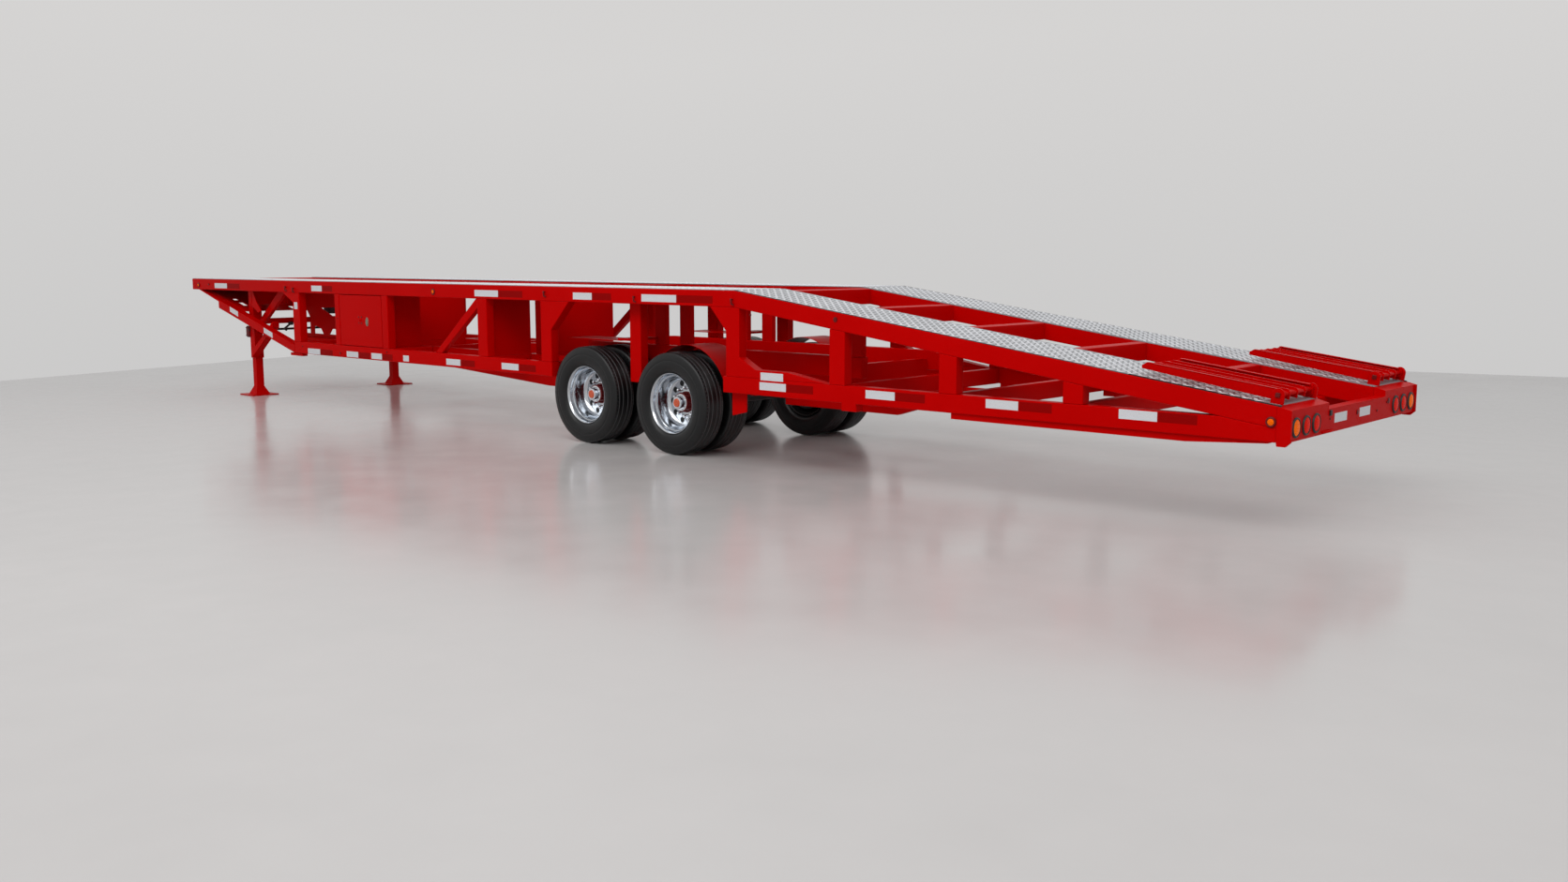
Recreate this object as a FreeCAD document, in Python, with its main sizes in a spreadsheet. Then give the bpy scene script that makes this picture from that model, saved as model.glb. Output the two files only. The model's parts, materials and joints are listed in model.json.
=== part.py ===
"""Wedge car-hauler semi-trailer: flat deck, sloped loading deck, tandem dual axles, landing legs.

Stations run rearward from the nose, heights run up from the floor, and every sub-part is moved
at the end so that the origin lies on the floor under the middle of the trailer. +X is rearward,
-Y is the left (road) side.
"""
import FreeCAD, Part
import os

import Sketcher
from FreeCAD import Rotation, Vector

SIZES = (  # alias, value in millimetres or degrees, what it is
    ("length", 16150, "nose to tail"),
    ("width", 2591, "over the side frames"),
    ("deck_height", 1610, "top of the side rails, flat deck"),
    ("knee_station", 10950, "where the deck starts to slope"),
    ("tail_height", 900, "top of the side rails at the tail"),
    ("rail_depth", 152, "height of the deck rails"),
    ("rail_width", 102, "width of side rails, chords and posts"),
    ("inner_rail_width", 76, "width of the rails inside the runways"),
    ("runway_width", 700, "width of each wheel runway"),
    ("plate_thick", 6, "tread plate"),
    ("plate_inset", 12, "side face to the edge of the tread plate"),
    ("chord_underside", 665, "floor to the lower chords"),
    ("chord_depth", 152, "height of the lower chords"),
    ("nose_plate_station", 222, "front end of the sloped chord's top plate"),
    ("nose_plate_drop", 16, "thickness of that plate"),
    ("front_chord_station", 785, "front end of the sloped chord's tube"),
    ("front_chord_depth", 105, "height of the sloped chord"),
    ("rear_chord_station", 10811, "front end of the rear lower chord"),
    ("post_width", 172, "side posts, along the trailer"),
    ("post_nose", 2877, "station of the first side post"),
    ("box_post_front", 3932, "station of the post before the toolbox"),
    ("box_post_front_width", 113, "its width"),
    ("box_post_rear", 5017, "station of the post behind the toolbox"),
    ("box_post_rear_width", 131, "its width"),
    ("post_mid", 6975, "station of the middle side post"),
    ("post_wheel_front", 8105, "station of the post ahead of the wheels"),
    ("post_wheel_rear", 10851, "station of the post behind the wheels"),
    ("post_slope_one", 0.2217, "posts under the sloped rail, as shares of the slope"),
    ("post_slope_two", 0.4448, ""),
    ("post_slope_three", 0.6644, ""),
    ("post_between_wheels", 9357, "station of the post between the wheels"),
    ("post_between_width", 162, "its width"),
    ("post_between_inset", 145, "its outer face to the side face"),
    ("nose_gusset_run", 263, "gusset ahead of the first post"),
    ("nose_gusset_drop", 128, ""),
    ("front_gusset_run", 300, "gusset behind the post ahead of the wheels"),
    ("rear_gusset_run", 208, "gusset ahead of the post behind the wheels"),
    ("rear_gusset_drop", 222, ""),
    ("crossmember_width", 76, "deck crossmembers"),
    ("nose_cross_station", 560, "crossmember over the coupler"),
    ("strut_station", 2149, "crossmember over the landing gear struts"),
    ("slope_cross_first", 40, "knee to the first crossmember of the slope"),
    ("tail_floor_setback", 448, "last lower crossmember's front face to the tail beam"),
    ("web_thick", 6, "bulkheads"),
    ("beam_station", 6224, "crossmember over the diagonal braces"),
    ("neck_start", 1850, "front end of the sills and of the cut-out webs over them"),
    ("neck_thick", 12, "cut-out webs"),
    ("sill_taper", 4080, "where the sills start to deepen"),
    ("sill_deep", 7400, "where they reach their full depth"),
    ("sill_drop", 196, "their extra depth"),
    ("rear_sill_run", 1840, "sills behind the wheels, along the trailer"),
    ("rear_sill_taper", 500, "taper of their rear ends"),
    ("rear_sill_drop", 150, "depth below the chords' undersides"),
    ("kick_gap", 28, "raised plate behind the wheels, to the first post of the slope"),
    ("kick_slope", 465, "its sloped end"),
    ("kick_rise", 76, "its height over the chord"),
    ("kick_gusset_run", 203, "gusset behind the post behind the wheels"),
    ("kick_gusset_rise", 181, ""),
    ("pad_reach", 137, "jacking pads ahead of the first post"),
    ("pad_thick", 38, "jacking pads"),
    ("stub_share", 0.5577, "stub blocks, as a share of the rear chords ahead of the ramp store"),
    ("stub_run", 163, "stub blocks"),
    ("stub_drop", 68, "stub blocks"),
    ("hung_station", 10846, "plates hung under the front ends of the rear chords"),
    ("hung_run", 187, "hung plates"),
    ("hung_drop", 225, "hung plates"),
    ("hung_rise", 46, "hung plates' lower edges, up to the rear"),
    ("hung_thick", 16, "hung plates"),
    ("brace_width", 90, "diagonal brace, square to its run"),
    ("brace_thick", 70, "diagonal brace, across the trailer"),
    ("brace_foot", 6110, "station of the brace's foot"),
    ("brace_foot_run", 126, "brace's foot along the chord"),
    ("coupler_height", 1220, "floor to the coupler plate's underside"),
    ("coupler_thick", 12, "coupler plate"),
    ("coupler_front", 330, "front edge of the flat coupler plate"),
    ("coupler_end", 1700, "rear edge of the coupler plate"),
    ("coupler_width", 920, "coupler plate"),
    ("wing_end", 1350, "rear edge of the wings beside the coupler plate"),
    ("wing_slot_one", 735, "slots in the wings"),
    ("wing_slot_one_run", 100, ""),
    ("wing_slot_two", 925, ""),
    ("wing_slot_two_run", 180, ""),
    ("wing_slot_width", 70, "slots, across the trailer"),
    ("wing_slot_inset", 110, "side frames' inner faces to the slots"),
    ("kingpin_station", 915, "nose to the kingpin"),
    ("kingpin_neck_radius", 25.4, "kingpin, two inch neck"),
    ("kingpin_collar_radius", 35.7, "kingpin, lower collar"),
    ("kingpin_reach", 84, "coupler plate to the kingpin's tip"),
    ("kingpin_collar_height", 19, "lower collar"),
    ("leg_station", 1425, "nose to the landing legs"),
    ("leg_setback", 215.5, "side face to the middle of the landing legs"),
    ("leg_width", 102, "landing legs' inner tube"),
    ("leg_sleeve_width", 124, "landing legs' outer tube"),
    ("leg_sleeve_height", 520, "floor to the outer tube"),
    ("leg_foot_width", 380, "landing leg foot plate"),
    ("leg_foot_thick", 14, "landing leg foot plate"),
    ("leg_bell_height", 110, "flare above the foot plate"),
    ("leg_bell_width", 205, "flare at the foot plate"),
    ("leg_tie_height", 990, "floor to the tie between the legs"),
    ("leg_tie_width", 76, "tie between the legs"),
    ("leg_beam_height", 1268, "floor to the deep beams behind the legs"),
    ("leg_brace_width", 50, "struts behind the legs"),
    ("leg_strut_height", 873, "floor to the foot of those struts"),
    ("leg_strut_run", 199, "head of a strut along the deck"),
    ("leg_strut_rise", 108, "foot of a strut on the leg"),
    ("leg_stay_height", 530, "floor to the foot of the stays from the legs to the chords"),
    ("leg_stay_run", 620, "stays along the trailer"),
    ("leg_stay_climb", 434, "their height"),
    ("leg_stay_depth", 84, "their depth, upright"),
    ("toolbox_depth", 540, "side face to the back of the toolbox"),
    ("toolbox_wall", 5, "toolbox sheet"),
    ("door_thick", 20, "toolbox door"),
    ("door_gap", 8, "clear space round the door"),
    ("door_pin_radius", 6, "toolbox door hinge pin"),
    ("seat_gap", 0.3, "running gap at pins and bearings"),
    ("subframe_depth", 193, "suspension frame beams"),
    ("subframe_width", 90, "suspension frame beams"),
    ("subframe_inset", 23.5, "runways' inner edges to the beams' inner faces"),
    ("rear_tie_width", 76, "lateral beam at the suspension beams' rear ends"),
    ("rear_tie_height", 735, "floor to that beam"),
    ("rear_tie_depth", 195, "that beam"),
    ("deck_post_width", 150, "posts from the suspension beams to the deck"),
    ("deck_post_one", 9190, "stations of those posts"),
    ("deck_post_two", 9560, ""),
    ("deck_post_three", 850, "knee to the last of those posts"),
    ("axle_station", 9428, "middle of the tandem"),
    ("axle_spread", 1284, "between the two axles"),
    ("tyre_radius", 503, "tyre"),
    ("tyre_width", 275, "tyre"),
    ("bead_radius", 285, "rim barrel, where the tyre sits"),
    ("bead_width", 210, "rim barrel"),
    ("dual_setback", 311.5, "side face to the mounting face of the twin wheels"),
    ("wheel_offset", 171.5, "rim centre to its mounting face"),
    ("rim_wall", 12, "rim barrel"),
    ("disc_reach", 70, "wheel disc's face beyond the mounting face"),
    ("hub_radius", 108, "hub barrel"),
    ("hub_reach", 150, "hub barrel beyond the mounting face"),
    ("hub_wall", 12, "end wall of the hub barrel"),
    ("axle_radius", 63.5, "axle tube"),
    ("axle_end_gap", 8, "axle's end to the hub's end wall"),
    ("spring_length", 1040, "leaf spring, hanger to equaliser"),
    ("spring_thick", 60, "leaf spring pack at the axle"),
    ("spring_width", 76, "leaf spring"),
    ("spring_inset", 30, "suspension beams' inner faces to the springs' inner faces"),
    ("spring_seat", 60, "half the flat middle of a spring"),
    ("spring_rise", 70, "spring ends above the spring's middle"),
    ("hanger_length", 120, "spring hanger along the trailer"),
    ("hanger_foot", 570, "floor to the foot of the hangers"),
    ("hanger_taper", 24, "hanger's foot narrower at each end"),
    ("fender_radius", 560, "mudguard round the tyre"),
    ("fender_thick", 4, "mudguard sheet"),
    ("fender_outward", 66, "wheels' mounting face to the mudguards' outer edges"),
    ("fender_inward", 316, "wheels' mounting face to the mudguards' inner edges"),
    ("fender_flat_run", 880, "flat mudguard along the trailer"),
    ("fender_strut_width", 50, "mudguard struts"),
    ("fender_strut_height", 900, "floor to the rear mudguard's strut"),
    ("fender_strut_inset", 20, "front edge of the rear mudguard to its strut"),
    ("fender_lip", 224, "axle to the rear edge of the rear mudguard, upwards"),
    ("tail_beam_depth", 102, "tail beam, along the trailer"),
    ("tail_underside", 672, "floor to the tail beam"),
    ("tail_lip_drop", 11, "tail beam's top below the rails, behind the runways"),
    ("tail_centre_drop", 44, "tail beam's top below that, in the middle"),
    ("corner_plate_width", 24, "end plates of the tail beam"),
    ("corner_foot", 640, "floor to the feet of the end plates"),
    ("corner_foot_front", 6, "foot's front end behind the plate's front edge"),
    ("corner_foot_rear", 36, "foot's rear end ahead of the plate's rear edge"),
    ("lamp_radius", 57, "rear lamps"),
    ("lamp_reach", 14, "rear lamps behind the tail beam's face"),
    ("lamp_height", 766, "rear lamps"),
    ("lamp_inset", 115, "side face to the outer rear lamp"),
    ("lamp_pitch", 180, "between rear lamps"),
    ("ramp_length", 1030, "flip ramp along the deck"),
    ("ramp_width", 560, "flip ramp"),
    ("ramp_thick", 54, "flip ramp"),
    ("ramp_inset", 76.5, "runways' inner edges to the ramps"),
    ("ramp_float", 46, "ramp above the tread plate"),
    ("ramp_bar_width", 28, "ramp bars"),
    ("ramp_heel", 20, "ramp behind its hinge"),
    ("ramp_heel_cut", 20, "bevel of the ramp's heel"),
    ("ramp_toe_run", 20, "bevel of the ramp's toe"),
    ("ramp_toe_height", 30, "toe of the ramp"),
    ("ramp_tie_width", 34, "ramp's cross bars"),
    ("ramp_tie_height", 30, "ramp's cross bars"),
    ("ramp_hinge_setback", 130, "tail to the ramp hinges"),
    ("ramp_hinge_rise", 62, "ramp hinge above the tread plate"),
    ("ramp_pin_radius", 14, "ramp hinge pin"),
    ("ramp_ear_thick", 14, "ramp hinge ears"),
    ("ramp_ear_half", 40, "ramp hinge ears, pin to edge"),
    ("ramp_ear_cut", 23, "bevels of the ears' crowns"),
    ("ramp_clearance", 6, "ramp to its hinge ears"),
    ("store_rail_setback", 160, "tail to the ramp store under the rear chord"),
    ("store_rail_length", 2615, "ramp store"),
    ("store_rail_depth", 50, "ramp store"),
    ("store_rail_taper", 600, "its tapered rear end"),
    ("store_rail_tip", 12, "its rear end's depth"),
    ("store_rail_inset", 20, "ramp store narrower than the chord, at each side"),
)


class Size:
    """A length, held as the text of an expression on the Sizes sheet."""

    def __init__(self, text):
        self.text = text

    def __str__(self):
        return self.text

    def __add__(self, other):
        return Size(f"({self} + {other})")

    def __radd__(self, other):
        return Size(f"({other} + {self})")

    def __sub__(self, other):
        return Size(f"({self} - {other})")

    def __rsub__(self, other):
        return Size(f"({other} - {self})")

    def __mul__(self, other):
        return Size(f"({self} * {other})")

    def __rmul__(self, other):
        return Size(f"({other} * {self})")

    def __truediv__(self, other):
        return Size(f"({self} / {other})")


class Table:
    """The Sizes sheet's aliases as attributes."""

    def __getattr__(self, alias):
        return Size(f"Sizes.{alias}")


doc = FreeCAD.newDocument("CarHaulerTrailer")
sheet = doc.addObject("Spreadsheet::Sheet", "Sizes")
for row, (alias, value, note) in enumerate(SIZES, start=1):
    sheet.set(f"A{row}", alias)
    sheet.set(f"B{row}", str(value))
    sheet.set(f"C{row}", note)
    sheet.setAlias(f"B{row}", alias)
doc.recompute()

of = Table()
nodes = []


# ---------------------------------------------------------------- drawing helpers

def number(expression):
    """The present value of an expression."""
    return float(sheet.evalExpression(str(expression)))


def bind(thing, **properties):
    """Bind an object's properties to expressions; a double underscore stands for a dot."""
    for name, expression in properties.items():
        thing.setExpression(name.replace("__", "."), str(expression))


def rect(low_x, low_z, high_x, high_z):
    """Corners of an upright rectangle."""
    return [(low_x, low_z), (high_x, low_z), (high_x, high_z), (low_x, high_z)]


def draw(sketch, outline):
    """Close a polyline through the outline's corners, each held by two bound distances."""
    base = sketch.GeometryCount
    corners = [Vector(number(across), number(up), 0) for across, up in outline]
    count = len(corners)
    for index in range(count):
        line = Part.LineSegment(corners[index], corners[(index + 1) % count])
        sketch.addGeometry(line, False)
    for index in range(count):
        here = base + index
        following = base + (index + 1) % count
        sketch.addConstraint(Sketcher.Constraint("Coincident", here, 2, following, 1))
    for index, (across, up) in enumerate(outline):
        for kind, expression, value in (
            ("DistanceX", across, corners[index].x),
            ("DistanceY", up, corners[index].y),
        ):
            place = sketch.addConstraint(Sketcher.Constraint(kind, -1, 1, base + index, 1, value))
            sketch.setExpression(f"Constraints[{place}]", str(expression))


def new_body(plane, outlines, offset=0):
    """A body with a sketch of the outlines on one of its origin planes, moved off by offset."""
    body = doc.addObject("PartDesign::Body", "Body")
    body.AllowCompound = True
    planes = {feature.Role: feature for feature in body.Origin.OriginFeatures}
    sketch = body.newObject("Sketcher::SketchObject", "Outline")
    sketch.AttachmentSupport = [(planes[plane], "")]
    sketch.MapMode = "FlatFace"
    sketch.setExpression("AttachmentOffset.Base.z", str(offset))
    for outline in outlines:
        draw(sketch, outline)
    return body, sketch, planes


def pad(plane, outlines, start, depth, both_sides=False):
    """Outlines on a plane, made solid from start to start + depth along the world axis.

    XZ_Plane outlines are (station, height) and run along +Y, YZ_Plane outlines are
    (across, height) and run along +X, and XY_Plane outlines are (station, across) and run up.
    """
    turned = plane == "XZ_Plane"
    body, sketch, planes = new_body(plane, outlines, 0 - start if turned else start)
    solid = body.newObject("PartDesign::Pad", "Pad")
    solid.Profile = sketch
    solid.Reversed = turned
    bind(solid, Length=depth)
    body.Tip = solid
    if both_sides:
        mirror = body.newObject("PartDesign::Mirrored", "OtherSide")
        mirror.Originals = [solid]
        mirror.MirrorPlane = (planes["XZ_Plane"], [""])
        body.Tip = mirror
    return body


def side_plates(outlines, inner, depth):
    """The same outlines on both sides, from inner to inner + depth off the centre line."""
    return pad("XZ_Plane", outlines, inner, depth, both_sides=True)


def revolve(outline):
    """A solid of revolution about Y from an (across, height) outline."""
    body, sketch, _ = new_body("YZ_Plane", [outline])
    turn = body.newObject("PartDesign::Revolution", "Revolution")
    turn.Profile = sketch
    turn.ReferenceAxis = (sketch, ["H_Axis"])
    turn.Angle = 360
    body.Tip = turn
    return body


def block(low_x, low_y, low_z, run, across, rise):
    """A box from its low corner."""
    box = doc.addObject("Part::Box", "Block")
    bind(box, Length=run, Width=across, Height=rise)
    bind(box, Placement__Base__x=low_x, Placement__Base__y=low_y, Placement__Base__z=low_z)
    return box


def rod(radius, reach, x, y, z, axis):
    """A cylinder from a point along a world axis."""
    bar = doc.addObject("Part::Cylinder", "Rod")
    bar.Placement.Rotation = Rotation(Vector(0, 0, 1), axis)
    bind(bar, Radius=radius, Height=reach)
    bind(bar, Placement__Base__x=x, Placement__Base__y=y, Placement__Base__z=z)
    return bar


def mirrored(piece):
    """The same piece on the other side of the centre line."""
    copy = doc.addObject("Part::Mirroring", "OtherSide")
    copy.Source = piece
    copy.Normal = Vector(0, 1, 0)
    return copy


def fused(*pieces):
    """One solid out of pieces that are welded together."""
    joint = doc.addObject("Part::MultiFuse", "Weld")
    joint.Shapes = list(pieces)
    joint.Refine = True
    return joint


def cut(base, tool):
    """The base without the tool."""
    rest = doc.addObject("Part::Cut", "Cut")
    rest.Base = base
    rest.Tool = tool
    return rest


def node(label, *pieces):
    """Name a sub-part and move it from nose stations to the middle of the trailer."""
    whole = doc.addObject("Part::Compound", "SubPart")
    whole.Links = list(pieces)
    whole.Label = label
    bind(whole, Placement__Base__x=0 - of.length / 2)
    nodes.append(whole)
    return whole


# ---------------------------------------------------------------- levels and lines shared by all

ALONG_X = Vector(1, 0, 0)
ALONG_Y = Vector(0, 1, 0)
UP = Vector(0, 0, 1)
DOWN = Vector(0, 0, -1)

half_width = of.width / 2
side_inner = half_width - of.rail_width
rail_bottom = of.deck_height - of.rail_depth
chord_top = of.chord_underside + of.chord_depth
tail_station = of.length - of.tail_beam_depth
slope = (of.deck_height - of.tail_height) / (of.length - of.knee_station)
plate_edge = half_width - of.plate_inset
plate_inner = plate_edge - of.runway_width
inner_rail_outer = plate_inner + of.inner_rail_width
subframe_inner = plate_inner - of.subframe_inset
subframe_outer = subframe_inner + of.subframe_width
dual_centre = half_width - of.dual_setback
first_axle = of.axle_station - of.axle_spread / 2
second_axle = of.axle_station + of.axle_spread / 2
deck_post_three = of.knee_station + of.deck_post_three


def rail_top(station):
    """Height of the sloped rails' top face."""
    return of.deck_height - slope * (station - of.knee_station)


def rail_under(station):
    """Height of the sloped rails' underside."""
    return rail_top(station) - of.rail_depth


def slope_station(share):
    """Station at a share of the run from the knee to the tail."""
    return of.knee_station + (of.length - of.knee_station) * share


POSTS_SLOPE = tuple(slope_station(share) for share in (
    of.post_slope_one, of.post_slope_two, of.post_slope_three))

# station where the sloped rail's underside meets the lower chord
apex = of.knee_station + (rail_bottom - chord_top) / slope


# ---------------------------------------------------------------- side frames

def build_rails():
    """Deck rails: a flat run and a sloped run, along both sides and inside both runways."""
    flat = [rect(0, rail_bottom, of.knee_station, of.deck_height)]
    inner_flat = [rect(of.rail_width, rail_bottom, of.knee_station, of.deck_height)]
    sloped = [[
        (of.knee_station, rail_bottom),
        (tail_station, rail_under(tail_station)),
        (tail_station, rail_top(tail_station)),
        (of.knee_station, of.deck_height),
    ]]
    node("side_rails_flat", side_plates(flat, side_inner, of.rail_width))
    node("side_rails_sloped", side_plates(sloped, side_inner, of.rail_width))
    node("inner_rails_flat", side_plates(inner_flat, plate_inner, of.inner_rail_width))
    node("inner_rails_sloped", side_plates(sloped, plate_inner, of.inner_rail_width))


def nose_line(station):
    """Height of the front chords' top line."""
    fall = (rail_bottom - of.chord_underside - of.front_chord_depth) / (
        of.post_nose - of.nose_plate_station)
    return rail_bottom - fall * (station - of.nose_plate_station)


def build_chords():
    """Lower members of the side frames."""
    tube_end = of.front_chord_station
    front = [
        (of.nose_plate_station - of.nose_plate_drop, rail_bottom),
        (tube_end, nose_line(tube_end) - of.nose_plate_drop),
        (tube_end, nose_line(tube_end) - of.front_chord_depth),
        (of.post_nose, of.chord_underside),
        (of.post_nose, of.chord_underside + of.front_chord_depth),
        (of.nose_plate_station + of.nose_plate_drop * 2, rail_bottom),
    ]
    node("front_chords", side_plates([front], side_inner, of.rail_width))
    middle = rect(of.post_nose, of.chord_underside, of.post_wheel_front + of.post_width, chord_top)
    pad_low = of.chord_underside - of.pad_thick
    foot = rect(of.post_nose - of.pad_reach, pad_low, of.post_nose + of.post_width,
                of.chord_underside)
    node("middle_chords", side_plates([middle], side_inner, of.rail_width),
         side_plates([foot], side_inner + of.neck_thick, of.rail_width - of.neck_thick * 2))
    rear = [
        (of.rear_chord_station, of.chord_underside),
        (tail_station, of.chord_underside),
        (tail_station, rail_under(tail_station)),
        (apex, chord_top),
        (of.rear_chord_station, chord_top),
    ]
    store_front = of.length - of.store_rail_setback - of.store_rail_length
    stub_station = of.rear_chord_station + (store_front - of.rear_chord_station) * of.stub_share
    stub = rect(stub_station, of.chord_underside - of.stub_drop,
                stub_station + of.stub_run, of.chord_underside)
    hung_end = of.hung_station + of.hung_run
    hung = [
        (of.hung_station, of.chord_underside - of.hung_drop),
        (hung_end, of.chord_underside - of.hung_drop + of.hung_rise),
        (hung_end, of.chord_underside),
        (of.hung_station, of.chord_underside),
    ]
    node("rear_chords", side_plates([rear, stub], side_inner, of.rail_width),
         side_plates([hung], side_inner, of.hung_thick))


def build_side_posts():
    """Posts between the chords and the rails, with the gussets that are part of three of them."""
    def plain(station, width):
        return rect(station, chord_top, station + width, rail_bottom)

    nose = [
        (of.post_nose, chord_top),
        (of.post_nose + of.post_width, chord_top),
        (of.post_nose + of.post_width, rail_bottom),
        (of.post_nose - of.nose_gusset_run, rail_bottom),
        (of.post_nose, rail_bottom - of.nose_gusset_drop),
    ]
    wheel_front_end = of.post_wheel_front + of.post_width
    wheel_front = [
        (of.post_wheel_front, chord_top),
        (wheel_front_end, chord_top),
        (wheel_front_end, rail_bottom - of.front_gusset_run),
        (wheel_front_end + of.front_gusset_run, rail_bottom),
        (of.post_wheel_front, rail_bottom),
    ]
    wheel_rear_end = of.post_wheel_rear + of.post_width
    wheel_rear = [
        (of.post_wheel_rear, chord_top),
        (wheel_rear_end, chord_top),
        (wheel_rear_end, rail_under(wheel_rear_end)),
        (of.knee_station, rail_bottom),
        (of.post_wheel_rear - of.rear_gusset_run, rail_bottom),
        (of.post_wheel_rear, rail_bottom - of.rear_gusset_drop),
    ]
    kick_top = chord_top + of.kick_rise
    kick_end = POSTS_SLOPE[0] - of.kick_gap
    kick = [
        (wheel_rear_end, chord_top),
        (kick_end, chord_top),
        (kick_end - of.kick_slope, kick_top),
        (wheel_rear_end + of.kick_gusset_run, kick_top),
        (wheel_rear_end, chord_top + of.kick_gusset_rise),
    ]
    outlines = [
        nose,
        kick,
        plain(of.box_post_front, of.box_post_front_width),
        plain(of.box_post_rear, of.box_post_rear_width),
        plain(of.post_mid, of.post_width),
        wheel_front,
        wheel_rear,
    ]
    for station in POSTS_SLOPE:
        end = station + of.post_width
        outlines.append([
            (station, chord_top),
            (end, chord_top),
            (end, rail_under(end)),
            (station, rail_under(station)),
        ])
    node("side_posts", side_plates(outlines, side_inner, of.rail_width))
    hung = rect(of.post_between_wheels, of.chord_underside,
                of.post_between_wheels + of.post_between_width, rail_bottom)
    node("wheel_posts", side_plates(
        [hung], half_width - of.post_between_inset - of.rail_width, of.rail_width))


# ---------------------------------------------------------------- deck

def centred(station, width):
    """Front face of a crossmember centred on a post."""
    return station + (width - of.crossmember_width) / 2


POSTS_FRONT = (
    centred(of.post_nose, of.post_width),
    centred(of.box_post_front, of.box_post_front_width),
    centred(of.box_post_rear, of.box_post_rear_width),
    centred(of.post_mid, of.post_width),
    centred(of.post_wheel_front, of.post_width),
)
POSTS_REAR = (centred(of.post_wheel_rear, of.post_width),) + tuple(
    centred(station, of.post_width) for station in POSTS_SLOPE)
SLOPE_CROSSMEMBERS = 5


def build_deck():
    """Tread plate runways and the crossmembers that carry them."""
    plate_top = of.deck_height + of.plate_thick
    flat = rect(0, of.deck_height, of.knee_station, plate_top)
    sloped = [
        (of.knee_station, of.deck_height),
        (tail_station, rail_top(tail_station)),
        (tail_station, rail_top(tail_station) + of.plate_thick),
        (of.knee_station, plate_top),
    ]
    node("runway_plates_flat", side_plates([flat], plate_inner, of.runway_width))
    node("runway_plates_sloped", side_plates([sloped], plate_inner, of.runway_width))

    outlines = []
    flat_stations = (
        of.nose_cross_station,
        of.leg_station - of.crossmember_width / 2,
        of.strut_station,
        of.beam_station,
        centred(of.post_between_wheels, of.post_between_width),
    ) + POSTS_FRONT
    for station in flat_stations:
        outlines.append(rect(station, rail_bottom, station + of.crossmember_width, of.deck_height))
    pitch = (tail_station - of.knee_station) / SLOPE_CROSSMEMBERS
    for order in range(SLOPE_CROSSMEMBERS):
        station = of.knee_station + of.slope_cross_first + pitch * order
        end = station + of.crossmember_width
        outlines.append([
            (station, rail_under(station)),
            (end, rail_under(end)),
            (end, rail_top(end)),
            (station, rail_top(station)),
        ])
    centre = pad("XZ_Plane", outlines, 0 - plate_inner, plate_inner * 2)
    node("deck_crossmembers", centre)
    behind_leg = of.leg_station + of.leg_sleeve_width / 2
    deep = rect(behind_leg, of.leg_beam_height, behind_leg + of.crossmember_width, of.deck_height)
    node("runway_crossmembers", side_plates(
        outlines + [deep], inner_rail_outer, side_inner - inner_rail_outer))
    node("nose_beam", block(0, 0 - side_inner, rail_bottom, of.rail_width, side_inner * 2,
                            of.rail_depth))


# crossmembers with a bulkhead between the runways
BULKHEADS = (POSTS_FRONT[1], POSTS_FRONT[3])
# openings of the cut-out webs: run behind the web's front end, rise over the chords
NECK_WINDOWS = (
    ((75, 50), (187, 50), (187, 217), (206, 256), (110, 373), (75, 373)),
    ((294, 50), (534, 50), (478, 119), (390, 150), (294, 150)),
    ((690, 50), (910, 50), (850, 128), (770, 128)),
    ((495, 408), (910, 258), (910, 428)),
)


def build_lower_deck():
    """Sills and crossmembers at the lower chords' level, and the bulkheads and webs over them."""
    sill = [
        (of.neck_start, of.chord_underside),
        (of.sill_taper, of.chord_underside),
        (of.sill_deep, of.chord_underside - of.sill_drop),
        (POSTS_FRONT[-1], of.chord_underside - of.sill_drop),
        (POSTS_FRONT[-1], chord_top),
        (of.neck_start, chord_top),
    ]
    rear_start = of.post_wheel_rear + of.post_width
    rear_end = rear_start + of.rear_sill_run
    rear_sill = [
        (rear_start, of.chord_underside - of.rear_sill_drop),
        (rear_end - of.rear_sill_taper, of.chord_underside - of.rear_sill_drop),
        (rear_end, of.chord_underside),
        (rear_start, of.chord_underside),
    ]
    node("inner_sills", side_plates([sill, rear_sill], plate_inner, of.inner_rail_width))
    width = of.crossmember_width
    front = [rect(station, of.chord_underside, station + width, chord_top)
             for station in POSTS_FRONT]
    rear = [rect(station, of.chord_underside, station + width, chord_top)
            for station in POSTS_REAR]
    last = tail_station - of.tail_floor_setback
    rear.append([
        (last, of.chord_underside),
        (last + width, of.chord_underside),
        (last + width, rail_under(last + width)),
        (last, rail_under(last)),
    ])
    node("floor_beams_centre", pad("XZ_Plane", front, 0 - plate_inner, plate_inner * 2))
    node("floor_beams_outer", side_plates(
        front, inner_rail_outer, side_inner - inner_rail_outer))
    node("floor_beams_rear", pad("XZ_Plane", rear, 0 - side_inner, side_inner * 2))
    bulkheads = [
        pad("YZ_Plane", [rect(0 - plate_inner, chord_top, plate_inner, rail_bottom)],
            station + of.crossmember_width - of.web_thick, of.web_thick)
        for station in BULKHEADS]
    left = rect(0 - side_inner, chord_top, 0 - inner_rail_outer, rail_bottom)
    bulkheads.append(pad("YZ_Plane", [left],
                         BULKHEADS[1] + of.crossmember_width - of.web_thick, of.web_thick))
    neck = [rect(of.neck_start, chord_top, of.post_nose, rail_bottom)] + [
        [(of.neck_start + run, chord_top + rise) for run, rise in window]
        for window in NECK_WINDOWS]
    node("web_plates", *bulkheads, side_plates(neck, plate_inner, of.neck_thick))


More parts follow.
